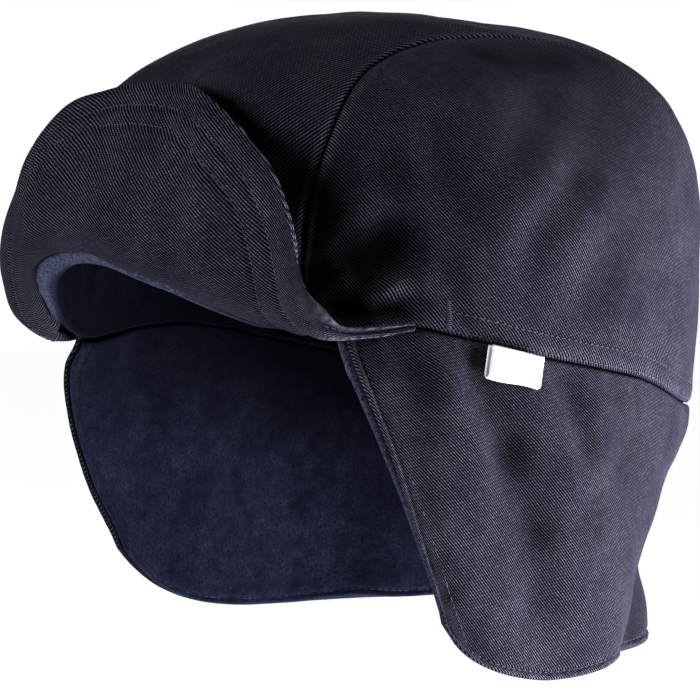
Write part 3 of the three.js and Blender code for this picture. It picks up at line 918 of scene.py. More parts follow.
def plush_material(name, look):
    """Short pile: soft clumps with lighter tips, and a nap that leans this way and that."""
    material, tree, shader = new_material(name, 0.95, look.sheen, 0.45, look.tip)
    solid = millimetres(tree, "object")
    clumps = grain(tree, solid, 1.3, 3.0, 0.7)
    fibres = grain(tree, solid, 4.0, 2.0, 0.6)
    nap = calc(tree, "ADD", grain(tree, solid, 0.07, 3.0), grain(tree, solid, 0.24, 3.0))
    fibres = calc(tree, "MULTIPLY", fibres, 0.4)
    light = calc(tree, "ADD", calc(tree, "MULTIPLY", clumps, 0.6), fibres)
    tone = rescale(tree, light, 0.35, 0.65, 0, 1)
    tone = calc(tree, "MULTIPLY", tone, rescale(tree, nap, 0.75, 1.25, 0.35, 1.1))
    colour = blend(tree, tone, (*look.root, 1), (*look.pile, 1))
    # Painted highlight towards the edge colour where the attribute is positive, and painted shade
    # towards the shade colour where it is negative.
    lit = rescale(tree, light, 0.45, 0.6, 0.12, 1)
    colour = wear_and_painted_light_mix(tree, colour, lit, look.edge, look.deep_shade)
    finish_material(tree, shader, colour, light, 1.0, look.pile_depth)
    return material


def thread_material(name, look):
    """Spun thread: fine slanting plies."""
    material, tree, shader = new_material(name, 0.6, 0.2, 0.4, look.thread)
    solid = millimetres(tree, "object")
    plies = grain(tree, solid, 5.0, 2.0)
    light = rescale(tree, plies, 0.35, 0.65, 0, 1)
    colour = blend(tree, light, (*look.thread_shade, 1), (*look.thread, 1))
    finish_material(tree, shader, colour, plies, 0.5, 0.05 * MM)
    return material


def tag_material(name, look):
    """Close plain weave in white cotton, with fine cross threads."""
    material, tree, shader = new_material(name, 0.7, 0.1, 0.5, look.tape)
    cloth = add(tree, "ShaderNodeSeparateXYZ", Vector=millimetres(tree, "cloth"))

    def threads(value, pitch):
        wave = calc(tree, "SINE", calc(tree, "MULTIPLY", value, 2 * math.pi / pitch))
        return rescale(tree, wave, -1, 1, 0, 1)

    weave = calc(tree, "MULTIPLY", threads(cloth.outputs[0], 0.28), threads(cloth.outputs[1], 0.34))
    soil = rescale(tree, grain(tree, millimetres(tree, "object"), 0.3, 3.0), 0.4, 0.8, 0, 0.5)
    colour = blend(tree, soil, (*look.tape, 1), (*look.tape_shade, 1))
    finish_material(tree, shader, colour, weave, 0.5, 0.06 * MM)
    return material


# What a user would change.
def length(name, text, default):
    return FloatProperty(
        name=name, description=text, default=default, min=0, unit="LENGTH", precision=5
    )


def colour(name, text, default):
    return FloatVectorProperty(
        name=name, description=text, default=default, min=0, max=1, subtype="COLOR"
    )


def share(name, text, default, high=1.0):
    return FloatProperty(
        name=name, description=text, default=default, min=0, max=high, subtype="FACTOR"
    )


class TwillLook(PropertyGroup):
    """The shell cloth."""

    rib_pitch: length("Rib pitch", "Width of one diagonal rib", 0.8 * MM)
    float_length: length("Float length", "Length of one yarn float along a rib", 1.1 * MM)
    rib_height: length("Rib height", "Depth of the relief between ribs", 0.22 * MM)
    relief: share("Relief", "How strongly the ribs catch the light", 0.8)
    # Strength of the lightening by abrasion and by the painted highlights on the peak's end lips.
    wear_and_painted_light_mix: share("Wear", "How much rubbed edges lighten", 0.35)
    sheen: share("Sheen", "Light caught by the yarn's loose fibres", 0.05)
    fleck_rarity: share("Fleck rarity", "Higher is fewer light floats", 5.0, 20.0)
    yarn: colour("Yarn", "Navy yarn", (0.192, 0.187, 0.242))
    shade: colour("Shade", "Darker patches of yarn", (0.125, 0.121, 0.18))
    gap: colour("Gap", "Dark lines between ribs", (0.001, 0.001, 0.004))
    fleck: colour("Fleck", "Lightest yarn floats", (0.42, 0.42, 0.52))


class PlushLook(PropertyGroup):
    """The lining."""

    pile_depth: length("Pile depth", "Depth of the pile's relief", 0.7 * MM)
    lump: length("Lump", "Height of the pile's soft lumps", 0.32 * MM)
    lump_size: length("Lump size", "Width of the pile's soft lumps", 1.7 * MM)
    tuft: length("Tuft", "Height of the tufts along the pile's edge", 1.1 * MM)
    tuft_size: length("Tuft size", "Width of the tufts along the pile's edge", 1.5 * MM)
    sheen: share("Sheen", "Light caught by the pile's tips", 0.25)
    pile: colour("Pile", "Tips of the pile", (0.042, 0.047, 0.083))
    root: colour("Root", "Between the pile's clumps", (0.006, 0.007, 0.018))
    # Painted shade colour of the plush inside the crown and high in the curtain.
    deep_shade: colour("Deep", "Pile pressed flat inside the crown", (0.001, 0.001, 0.004))
    tip: colour("Tip", "Sheen of the pile", (0.35, 0.4, 0.7))
    # Painted highlight colour of the plush strips at the hook and along the near flap.
    edge: colour("Edge", "Pile seen where it turns over an edge", (0.14, 0.147, 0.205))


class TrimLook(PropertyGroup):
    """Topstitching and the tag."""

    stitch_pitch: length("Stitch pitch", "From one stitch to the next", 2.3 * MM)
    stitch_length: length("Stitch length", "Length of a stitch that shows", 1.85 * MM)
    thread_width: length("Thread width", "Thickness of the thread", 0.42 * MM)
    thread: colour("Thread", "Navy thread", (0.17, 0.17, 0.24))
    thread_shade: colour("Thread shade", "Between the thread's plies", (0.035, 0.035, 0.06))
    tape: colour("Tape", "White tag", (0.66, 0.67, 0.71))
    tape_shade: colour("Tape shade", "Greyer patches of the tag", (0.5, 0.51, 0.57))


class StageLook(PropertyGroup):
    """Floor, light and camera."""

    floor_drop: length("Floor drop", "From the origin down to the floor", 0.55)
    camera_distance: length("Camera distance", "From the origin to the camera", 0.9)
    camera_azimuth: FloatProperty(
        name="Camera azimuth",
        description="Angle of the view, from the front round to the wearer's left",
        default=math.radians(53),
        subtype="ANGLE",
    )
    camera_elevation: FloatProperty(
        name="Camera elevation",
        description="Angle of the view above level",
        default=math.radians(4.5),
        subtype="ANGLE",
    )
    floor: colour("Floor", "Pale floor", (0.8, 0.8, 0.8))


def look(name):
    return getattr(bpy.context.scene, name)


# The crown, panel by panel.
def disc(angle, lift):
    """A place on the dome as a point of a flat disc, with the top of the crown at its centre."""
    turn = np.radians(angle)
    return stack((1 - lift) * np.sin(turn), (1 - lift) * np.cos(turn))


def from_disc(points):
    angle = np.degrees(np.arctan2(points[..., 0], points[..., 1]))
    return angle, 1 - np.hypot(points[..., 0], points[..., 1])


def beyond_seam(angle, lift):
    """How far outside the middle panel a place on the dome lies."""
    point = crown_point(angle, lift)
    reach = np.where(point[..., 1] < 0, FRONT_REACH, BACK_REACH)
    half = read_table(MIDDLE_PANEL, "along", "across", point[..., 1] / reach) * HALF_WIDTH
    return np.abs(point[..., 0]) - half


def halve(test, low, high):
    """The place between low and high where a test turns from positive to negative."""
    for _ in range(40):
        middle = (low + high) / 2
        positive = test(middle) > 0
        low = np.where(positive, middle, low)
        high = np.where(positive, high, middle)
    return (low + high) / 2


def panel_seam(side, count):
    """The seam on one side of the middle panel, from front to back, as angles and lifts."""
    level = np.array(0.0)
    start = halve(lambda a: -beyond_seam(side * a, level), np.array(20.0), np.array(90.0))
    end = halve(lambda a: beyond_seam(side * a, level), np.array(90.0), np.array(175.0))
    spread = np.linspace(0, math.pi, 4001)
    angles = side * lerp(start, end, (1 - np.cos(spread)) / 2)
    lifts = halve(lambda l: beyond_seam(angles, l), np.zeros_like(angles), np.ones_like(angles))
    lifts[[0, -1]] = 0
    path = crown_point(angles, lifts)
    return evenly(path, stack(angles, lifts), count)


def side_panel_places(side, fine, coarse, band):
    seam = panel_seam(side, 2001)
    length = travelled(crown_point(seam[:, 0], seam[:, 1]), 0)[-1]
    along = np.linspace(0, 1, int(length / coarse))
    at = np.linspace(0, 1, len(seam))
    seam_angle = np.interp(along, at, seam[:, 0])
    seam_lift = np.interp(along, at, seam[:, 1])
    rim_angle = lerp(seam[0, 0], seam[-1, 0], along)
    depth = chord(crown_point(90.0 * side, 0.0), crown_point(90.0 * side, seam_lift.max()))
    down = graded(depth, fine, coarse, band)
    top = disc(seam_angle, seam_lift)[:, None]
    bottom = disc(rim_angle, 0.0)[:, None]
    return from_disc(lerp(top, bottom, down[None, :, None]))


def middle_panel_places(fine, coarse, band):
    left, right = panel_seam(1, 2001), panel_seam(-1, 2001)
    length = travelled(crown_point(left[:, 0], left[:, 1]), 0)[-1]
    along = graded(length, fine, coarse, band)
    across = graded(1.1 * HALF_WIDTH, fine, coarse, band)
    at = np.linspace(0, 1, len(left))

    def seam_disc(seam):
        return disc(np.interp(along, at, seam[:, 0]), np.interp(along, at, seam[:, 1]))[:, None]

    s, t = along[:, None, None], across[None, :, None]
    front = disc(lerp(right[0, 0], left[0, 0], across), 0.0)[None]
    back = disc(lerp(360 + right[-1, 0], left[-1, 0], across), 0.0)[None]
    from_right, from_left = seam_disc(right), seam_disc(left)
    corners = lerp(lerp(front[:, :1], front[:, -1:], t), lerp(back[:, :1], back[:, -1:], t), s)
    return from_disc(lerp(from_right, from_left, t) + lerp(front, back, s) - corners)


def crown_relief(points, angle, rim_gap, seam_gap):
    """Fine relief of the crown: a raised seam band, its two stitch lines, and puckers."""
    low, high = CROWN_ROWS
    sewn = smoothstep(np.abs(angle), BARTACK_ANGLE - BARTACK_FADE, BARTACK_ANGLE)
    band = smoothstep(rim_gap, 0.4 * low, 1.6 * low) - smoothstep(rim_gap, high, high + BAND_FADE)
    relief = BAND_HEIGHT * band + MM * ridges(CROWN_STITCH_RIDGES, rim_gap / MM) * sewn
    relief += MM * (ridges(RIM_RIDGES, rim_gap / MM) + ridges(SEAM_RIDGES, seam_gap / MM))
    gather = ripple(stack(angle * 0.25, 0 * angle, points[..., 2] / MM * 0.03), 1.0, 5.0)
    relief += MM * gather * ridges(CROWN_GATHER, rim_gap / MM)
    return relief + waver(points, *CROWN_WAVER) * smoothstep(rim_gap, 0, 10 * MM)


def crown_cloth(points, side):
    """Cloth coordinates of the crown: side panels lie on the side, the middle one on top."""
    away = points - np.array([0, 0, WIDEST_HEIGHT])
    radius = np.linalg.norm(away, axis=-1)
    facing = unit(np.array([side, *SIDE_FACING])) if side else np.array([0.0, 0.0, 1.0])
    ahead = np.array([0.0, side or 1.0, 0.0])
    ahead = unit(ahead - facing * ahead.dot(facing))
    up = np.cross(facing, ahead)
    turn = np.arccos(np.clip(away @ facing / radius, -1, 1))
    flat = unit(stack(away @ ahead, away @ up)) * (turn * CLOTH_RADIUS)[..., None]
    if not side:
        return flat * MIDDLE_SCALE
    girth = np.arctan2(points[..., 1], points[..., 0] * side) * side
    wrapped = stack(girth, np.arcsin(np.clip(away[..., 2] / radius, -1, 1))) * CLOTH_RADIUS
    return lerp(flat, wrapped, SIDE_WRAP)


def crown_panel(name, angle, lift, side, material):
    points = crown_point(angle, lift)
    normals = crown_normal(angle, lift)
    rim_gap = chord(points, crown_point(angle, 0 * lift))
    seam_gap = chord(points, points[:, :1])
    if not side:
        seam_gap = np.minimum(seam_gap, chord(points, points[:, -1:]))
    fold = crown_folds(points, rim_gap)
    relief = crown_relief(points, angle, rim_gap, seam_gap) + fold
    piece = wall_body(
        name,
        moved(points, normals, relief),
        moved(points, normals, fold - SHELL_WALL),
        np.minimum(seam_gap, rim_gap),
        CROWN_EDGE_ROUND,
        crown_cloth(points, side),
        # Abrasion along the seams and the rim, and painted shade in the fold hollows.
        ridges(SEAM_WEAR, seam_gap / MM) + ridges(RIM_WEAR, rim_gap / MM) - crease_shade(fold),
    )
    dress(piece, material, "twill", name.removesuffix("_twill"))


class MakeCrown(Operator):
    """Make the crown's three twill panels."""

    bl_idname = "winter_cap.crown"
    bl_label = "Crown"

    def execute(self, context):
        material = twill_material("side", look("cap_twill"))
        for side, name in ((1, "crown_side_left_twill"), (-1, "crown_side_right_twill")):
            angle, lift = side_panel_places(side, *SHELL_GRID)
            crown_panel(name, angle, lift, side, material)
        angle, lift = middle_panel_places(*SHELL_GRID)
        material = twill_material("middle", look("cap_twill"))
        crown_panel("crown_middle_twill", angle, lift, 0, material)
        return {"FINISHED"}


def hook_share(angle):
    """Where the peak's base stands off the rim and the plush rolls out under it."""
    return smoothstep(angle, *HOOK_START) * (1 - smoothstep(angle, *HOOK_END))


def crown_plush(pile, material):
    """The plush inside the crown, which swells out and curls up under the peak's raised base."""
    spans = [np.linspace(*span, endpoint=False) for span in PLUSH_SPANS]
    angles = np.concatenate([*spans, [180]])
    lifts = graded(CROWN_GIRTH, *CROWN_PLUSH_GRID)
    angle, lift = np.meshgrid(angles, lifts, indexing="ij")
    hook = hook_share(angle)
    lower = LINING_PEEP * read_table(LINING_EDGE, "angle", "below", np.abs(angle))
    lower = lower - HOOK_SHORT * hook
    points = crown_point(angle, lift, lower)
    normals = crown_normal(angle, lift, lower)
    edge = chord(points, crown_point(angle, 0 * lift, lower))
    lumps = pile.lump * ripple(points, pile.lump_size, 9.0)
    points = moved(points, normals, crown_folds(points, edge))
    below = rim_height(angle) - points[..., 2]
    tufts = pile.tuft * ripple(points, pile.tuft_size, 4.0) * hook
    slit = LINING_DEPTH + lerp(OPEN_SET, TUCK_SET, tucked_share(angle)) - PLUSH_CLEAR
    slit = slit * (1 - smoothstep(np.abs(angle), *SLIT_END))
    swell = slit + HOOK_OUT * hook + HOOK_SHOULDER * hook * (1 - hook) + tufts
    swell = swell * smoothstep(below, *SWELL_DEPTH)
    curl = HOOK_CURL * smoothstep(swell, *CURL_SWELL) * hook
    curl = curl * (1 - smoothstep(below, *CURL_DEPTH))
    outer = moved(points, normals, swell - LINING_DEPTH) + stack(0, 0, curl)
    inner = moved(points, normals, -(LINING_DEPTH + LINING_WALL) - lumps)
    # Painted highlight on the plush strip below the rim at the hook, and painted shade over the
    # inner face away from its edge and over the outer face on the far side.
    lit = smoothstep(below, *LIT_DEPTH) * (1 - smoothstep(angle, *LIT_END))
    lit = lerp(-DEEP_PLUSH_SHADE, lit, smoothstep(angle, *LIT_START))
    dark = lerp(lit, -DEEP_PLUSH_SHADE, smoothstep(edge, 0, 2 * MM))
    top = lift > 0.9999
    faces = [np.where(top[..., None], face[:1, -1:], face) for face in (outer, inner)]
    middle = (faces[0] + faces[1]) / 2
    radius = lerp(LINING_WALL / 2, SEAM_GAP, smoothstep(np.abs(angle), *ROUND_CHANGE))
    open_share = np.where(top, 1, rounded(edge, radius))[..., None]
    places = two_faced(*(lerp(middle, face, open_share) for face in faces))
    cloth = stack(angle * MM, lift * MM)
    piece = cloth_grid("crown_plush", places, two_faced(cloth, cloth), two_faced(lit, dark))
    dress(piece, material, "plush", "crown_lining")


def curtain_plush(pile, material):
    """The plush inside the curtain, pressed in along the flaps' topstitching."""
    across, down, edge = curtain_places(*PLUSH_GRID, no_step, EDGE_STEP, LINING_LAP)
    points = curtain_point(across, down)
    normals = curtain_normal(across, down)
    lumps = pile.lump * ripple(points, pile.lump_size, 2.0)
    press = STITCH_PRESS * bell(edge + EDGE_STEP - FLAP_INSET, 0.7 * MM)
    points = moved(points, normals, flap_folds(points, edge))
    front = smoothstep(np.minimum(across, 1 - across), 0.03, 0.25)
    # Painted highlight on the plush along the near flap's edges, fading downwards, and painted
    # shade in the upper half inside the curtain, stronger away from the flaps' front edges.
    wear_and_painted_light = bell(edge, 3.5 * MM) * (1 - smoothstep(across, 0, 0.3)) * (1 - 0.7 * down)
    shade = (1 - smoothstep(down, 0, 0.5)) * lerp(*CURTAIN_SHADE, front)
    seam_gap = chord(points, points[:, :1]) * LINING_WALL / 2 / SEAM_GAP
    piece = wall_body(
        "curtain_plush",
        moved(points, normals, np.full(edge.shape, -LINING_DEPTH)),
        moved(points, normals, press - lumps - (LINING_DEPTH + LINING_WALL)),
        np.minimum(edge, seam_gap),
        LINING_WALL / 2,
        stack(across, down),
        wear_and_painted_light - shade * smoothstep(edge, 0, 6 * MM),
    )
    dress(piece, material, "plush", "curtain_lining")


class MakeLinings(Operator):
    """Make the plush inside the crown and inside the curtain."""

    bl_idname = "winter_cap.linings"
    bl_label = "Linings"

    def execute(self, context):
        pile = look("cap_plush")
        material = plush_material("navy_plush", pile)
        crown_plush(pile, material)
        curtain_plush(pile, material)
        return {"FINISHED"}


def edge_rate(end, down):
    """Length along the curtain for a unit of across, at its near (0) or far (1) front edge."""
    beside = abs(end - SMALL_STEP)
    return chord(curtain_point(beside, down), curtain_point(end, down)) / SMALL_STEP


def curtain_places(fine, coarse, band, near_step, step, lap):
    """A grid over the curtain, denser along its edges, with each place's distance to them."""
    middle = travelled(curtain_point(np.linspace(0, 1, 400), np.full(400, 0.5)), 0)[-1]
    shares = graded(middle, fine, coarse, band)
    downs = graded(CURTAIN_DROP, fine, coarse, band)
    start = near_step(downs) / edge_rate(0.0, downs)
    end = step / edge_rate(1.0, downs)
    across = lerp(start[None, :], 1 - end[None, :], shares[:, None])
    first = across[:, 0]
    height = chord(curtain_point(first, 0 * first), curtain_point(first, 1 + 0 * first))
    top, bottom = lap / height[:, None], step / height[:, None]
    down = lerp(top, 1 - bottom, downs[None, :])
    points = curtain_point(across, down)
    sides = np.minimum(chord(points, points[:1]), chord(points, points[-1:]))
    edge = np.minimum(sides, chord(points, points[:, -1:]))
    return across, down, edge


def curtain_relief(points, across, down, edge, rim_gap):
    """Fine relief of the curtain: its turned edge, topstitching and puckers."""
    relief = MM * (ridges(FLAP_RIDGES, edge / MM) + ridges(HANG_RIDGES, rim_gap / MM))
    gather = ripple(stack(across * 95, 0 * across, down * 2), 1.0, 1.0)
    relief += MM * gather * ridges(CURTAIN_GATHER, rim_gap / MM)
    pucker = ripple(stack(across * 140, down * 30, 0 * down), 1.0, 4.0)
    relief += MM * pucker * ridges(FLAP_PUCKER, edge / MM)
    return relief + waver(points, *CURTAIN_WAVER)


def front_step(down):
    """How far the near flap's twill stays back from its front edge, where the plush shows."""
    return PLUSH_STRIP * (1 - smoothstep(down, 0.25, 0.85))


def no_step(down):
    return 0 * down


class MakeCurtain(Operator):
    """Make the twill curtain that covers the ears and the nape."""

    bl_idname = "winter_cap.curtain"
    bl_label = "Curtain"

    def execute(self, context):
        material = twill_material("curtain", look("cap_twill"))
        across, down, edge = curtain_places(*SHELL_GRID, front_step, 0, 0)
        points = curtain_point(across, down)
        normals = curtain_normal(across, down)
        rim_gap = chord(points, points[:, :1])
        fold = flap_folds(points, edge)
        relief = curtain_relief(points, across, down, edge, rim_gap) + fold
        # Abrasion along the flap edges, and painted shade along the far flap's front edge, in the
        # fold hollows and in the neck fold.
        wear_and_painted_light = ridges(FLAP_WEAR, edge / MM) * (1 - 0.9 * smoothstep(across, 0.8, 0.95))
        wear_and_painted_light = wear_and_painted_light - FAR_EDGE_SHADE * bell(edge, 2 * MM) * smoothstep(across, 0.85, 0.93)
        wear_and_painted_light = wear_and_painted_light - CURTAIN_CREASE_SHADE * crease_shade(fold)
        place, run, width = NECK_LINE
        tuck = np.clip(1.5 * down - 0.5, 0, 1)
        wear_and_painted_light = wear_and_painted_light - NECK_SHADE * tuck**FOLD_POWER * bell(across - place + run * tuck, width)
        piece = wall_body(
            "curtain_twill",
            moved(points, normals, relief),
            moved(points, normals, fold - SHELL_WALL),
            np.minimum(edge, rim_gap),
            SHELL_WALL / 2,
            curtain_cloth(points, across),
            wear_and_painted_light,
        )
        dress(piece, material, "twill", "curtain")
        return {"FINISHED"}


def curtain_cloth(points, across):
    """Cloth coordinates of the curtain: true over each ear, eased together round the nape."""
    girth = travelled(points, 0)
    near, far = (int(share * len(girth)) for share in EAR_SHARES)
    width = girth[far, 0] - girth[near, 0]
    share = smoothstep(across, *EAR_SHARES)
    return stack(girth - lerp(girth[near], girth[far] - width, share), points[..., 2])


def peak_shape(angle, out):
    """The peak's outer face, its base raised at the hook and its near end leaning back."""
    facing = brow(angle, out)[1]
    share = (hook_share(angle) * (1 - out) ** 3)[..., None]
    points = peak_point(angle, out) + share * (facing * HOOK_OUT + np.array([0, 0, HOOK_RISE]))
    lean = (NEAR_LEAN * bell(angle - NEAR_BEND, NEAR_BEND_WIDTH) * out**2)[..., None]
    lift = MM * ridges(NEAR_LIFT, angle) + END_LIFT * smoothstep(angle, 60, PEAK_END_ANGLE)
    return points + lean * BACK_AND_OUT + stack(0, 0, lift * (1 - out))


def peak_shape_normal(angle, out):
    return face_normal(peak_shape, angle, out, 1, 0.1)


def peak_edge_gap(points):
    """Distance to the peak's free edge."""
    angles = np.linspace(-PEAK_END_ANGLE, PEAK_END_ANGLE, 500)
    gap = np.full(points.shape[:-1], 1.0)
    for place in peak_point(angles, 1 + 0 * angles):
        gap = np.minimum(gap, chord(points, place))
    return gap


def narrow_share(angle):
    """1 where the peak is only its two rolled lips, at its ends."""
    return smoothstep(np.abs(angle), *NARROW)


def peak_relief(points, angle, out, gap):
    """Fine relief of the peak: two stitch lines, puffed bands beside them, waves and folds."""
    relief = MM * ridges(PEAK_RIDGES, gap / MM) + PEAK_PUFF * smoothstep(gap, *PUFF_START)
    relief += waver(points, *PEAK_WAVER) * smoothstep(gap, 0, 6 * MM)
    pucker = ripple(stack(angle * 0.35, out * 2, 0 * out), 1.0, 12.0)
    relief += MM * pucker * ridges(PEAK_PUCKER, gap / MM)
    relief = lerp(relief, MM * ridges(END_RIDGES, out), narrow_share(angle))
    return relief + folds(PEAK_FOLDS, peak_point, points) * smoothstep(gap, 0, FOLD_FADE)


class MakePeak(Operator):
    """Make the turned-up peak, two layers of twill with a rolled edge."""

    bl_idname = "winter_cap.peak"
    bl_label = "Peak"

    def execute(self, context):
        material = twill_material("peak", look("cap_twill"))
        angles = PEAK_END_ANGLE * signed_power(np.linspace(-1, 1, 301), 0.75)
        outs = graded(PEAK_DEPTH, 0.5 * MM, 1.1 * MM, 4 * MM)
        angle, out = np.meshgrid(angles, outs, indexing="ij")
        length = travelled(peak_point(angle, out), 1)[:, -1:]
        body_outs = outs[outs < 1 - 1.6 * MM / PEAK_DEPTH]
        body = np.broadcast_to(body_outs, (len(angles), len(body_outs)))
        lips = EDGE_LIPS["inset"] * MM / np.maximum(length, 4 * MM)
        out = np.concatenate([body, np.maximum(1 - lips, body[:, -1:])], axis=1)
        angle = np.broadcast_to(angles[:, None], out.shape)
        depth = np.concatenate([0 * body, np.broadcast_to(EDGE_LIPS["depth"], lips.shape)], axis=1)
        fold_line = peak_point(angle[:, :1], 0 * angle[:, :1])
        tip = np.minimum(chord(fold_line, fold_line[:1]), chord(fold_line, fold_line[-1:]))
        out = out * lerp(0.25, 1, rounded(tip, 4 * MM))
        points = peak_shape(angle, out)
        normals = peak_shape_normal(angle, out)
        wall = peak_thickness(angle)
        gap = peak_edge_gap(points)
        fold_gap = out * length
        ends = np.minimum(chord(points, points[:1]), chord(points, points[-1:]))
        open_share = rounded(np.minimum(fold_gap, ends), PEAK_WALL / 2)
        sink = lerp(wall / 2, depth * wall, open_share)
        outer = moved(points, normals, peak_relief(points, angle, out, gap) * open_share - sink)
        inner = moved(points, normals, sink - wall)
        girth = travelled(points, 0)
        cloth = stack(girth - girth[len(girth) // 2], fold_gap)
        narrow = narrow_share(angle)
        # Abrasion along the free edge and the fold; at the ends, painted highlights on the two lips
        # and painted shade in the groove between them.
        wear_and_painted_light = ridges(EDGE_WEAR, gap / MM) * (1 - narrow) + ridges(FOLD_WEAR, fold_gap / MM)
        wear_and_painted_light = wear_and_painted_light + ridges(END_HIGHLIGHT_AND_SHADE, out) * narrow
        places = two_faced(outer, inner)
        piece = cloth_grid("peak_twill", places, two_faced(cloth, cloth), two_faced(wear_and_painted_light, wear_and_painted_light))
        dress(piece, material, "twill", "peak")
        return {"FINISHED"}


class MakeTag(Operator):
    """Make the blank folded tag in the side seam."""

    bl_idname = "winter_cap.tag"
    bl_label = "Tag"

    def execute(self, context):
        at = (TAG_ANGLE - TEMPLE_ANGLE) / (180 - TEMPLE_ANGLE) / 2
        half = TAG_LENGTH / 8 / (HALF_WIDTH + BACK_REACH)
        seam = unit(curtain_point(at - half, 0.0) - curtain_point(at + half, 0.0))
        outward = curtain_normal(np.array(at), np.array(0.06))
        outward = unit(outward - seam * outward.dot(seam))
        upward = np.cross(seam, outward)
        origin = curtain_point(np.array(at), np.array(0.0)) + outward * TAG_STAND
        radius = (TAG_HOLLOW + TAG_CLOTH) / 2
        fall = TAG_DROP - radius - TAG_CLOTH / 2
        straight = np.linspace(0, 1, 16)
        turn = np.linspace(0, math.pi, 14)[1:-1]
        bend_out, bend_down = radius + radius * np.cos(turn), -fall - radius * np.sin(turn)
        out = np.concatenate([0 * straight + 2 * radius, bend_out, 0 * straight]) + TAG_CLOTH / 2
        high = np.concatenate([-fall * straight, bend_down, -fall * straight[::-1]])
        across = np.linspace(-0.5, 0.5, 40) * TAG_LENGTH
        bow = 0.35 * MM * np.cos(np.pi * across / TAG_LENGTH)[:, None]
        droop = 0.25 * MM * np.sin(across * 300)[:, None]
        front = np.where(out > radius, 1, 0)[None]
        middle = (
            origin
            + outward * (out[None] + bow * front)[..., None]
            + upward * (high[None] + droop * (high[None] / fall))[..., None]
            + seam * across[:, None, None]
        )
        path = stack(out, high)
        slope = unit(np.gradient(path, axis=0))
        normal = outward * -slope[:, 1:] + upward * slope[:, :1]
        length = travelled(path, 0)
        edge = np.minimum(length, length[-1] - length)[None]
        edge = np.minimum(edge, (TAG_LENGTH / 2 - np.abs(across))[:, None])
        open_share = rounded(edge, TAG_CLOTH / 2)[..., None]
        thick = normal[None] * TAG_CLOTH / 2 * open_share
        cloth = stack(across[:, None], length[None])
        places = two_faced(middle + thick, middle - thick)
        piece = cloth_grid("tag_tape", places, two_faced(cloth, cloth))
        dress(piece, tag_material("white_tape", look("cap_trim")), "tag_cloth", "tag")
        return {"FINISHED"}


def sew(bm, path, normals, trim, sink=0.12, pitch=None, across=False):
    """Stitches in a row along a path that lies on the cloth, or side by side across it."""
    along = travelled(path, 0)
    pitch = pitch or trim.stitch_pitch
    count = int(along[-1] / pitch)
    for number in range(count):
        at = (number + 0.5) * pitch
        place, before, after, normal = (
            Vector([np.interp(where, along, column) for column in rows.T])
            for where, rows in (
                (at, path),
                (at - trim.stitch_length / 2, path),
                (at + trim.stitch_length / 2, path),
                (at, normals),
            )
        )
        tangent = (after - before).normalized()
        side = tangent.cross(normal).normalized()
        normal = side.cross(tangent)
        if across:
            side, tangent = -tangent, side
        place += normal * trim.thread_width * sink
        frame_matrix = Matrix((side, normal, tangent)).transposed().to_4x4()
        size = Matrix.Diagonal((trim.thread_width, trim.thread_width, trim.stitch_length, 1))
        bmesh.ops.create_uvsphere(
            bm,
            u_segments=6,
            v_segments=5,
            radius=0.5,
            matrix=Matrix.Translation(place) @ frame_matrix @ size,
        )


def finish_thread(name, bm, material):
    for face in bm.faces:
        face.smooth = True
    dress(finish_mesh(name, bm), material, "twill")


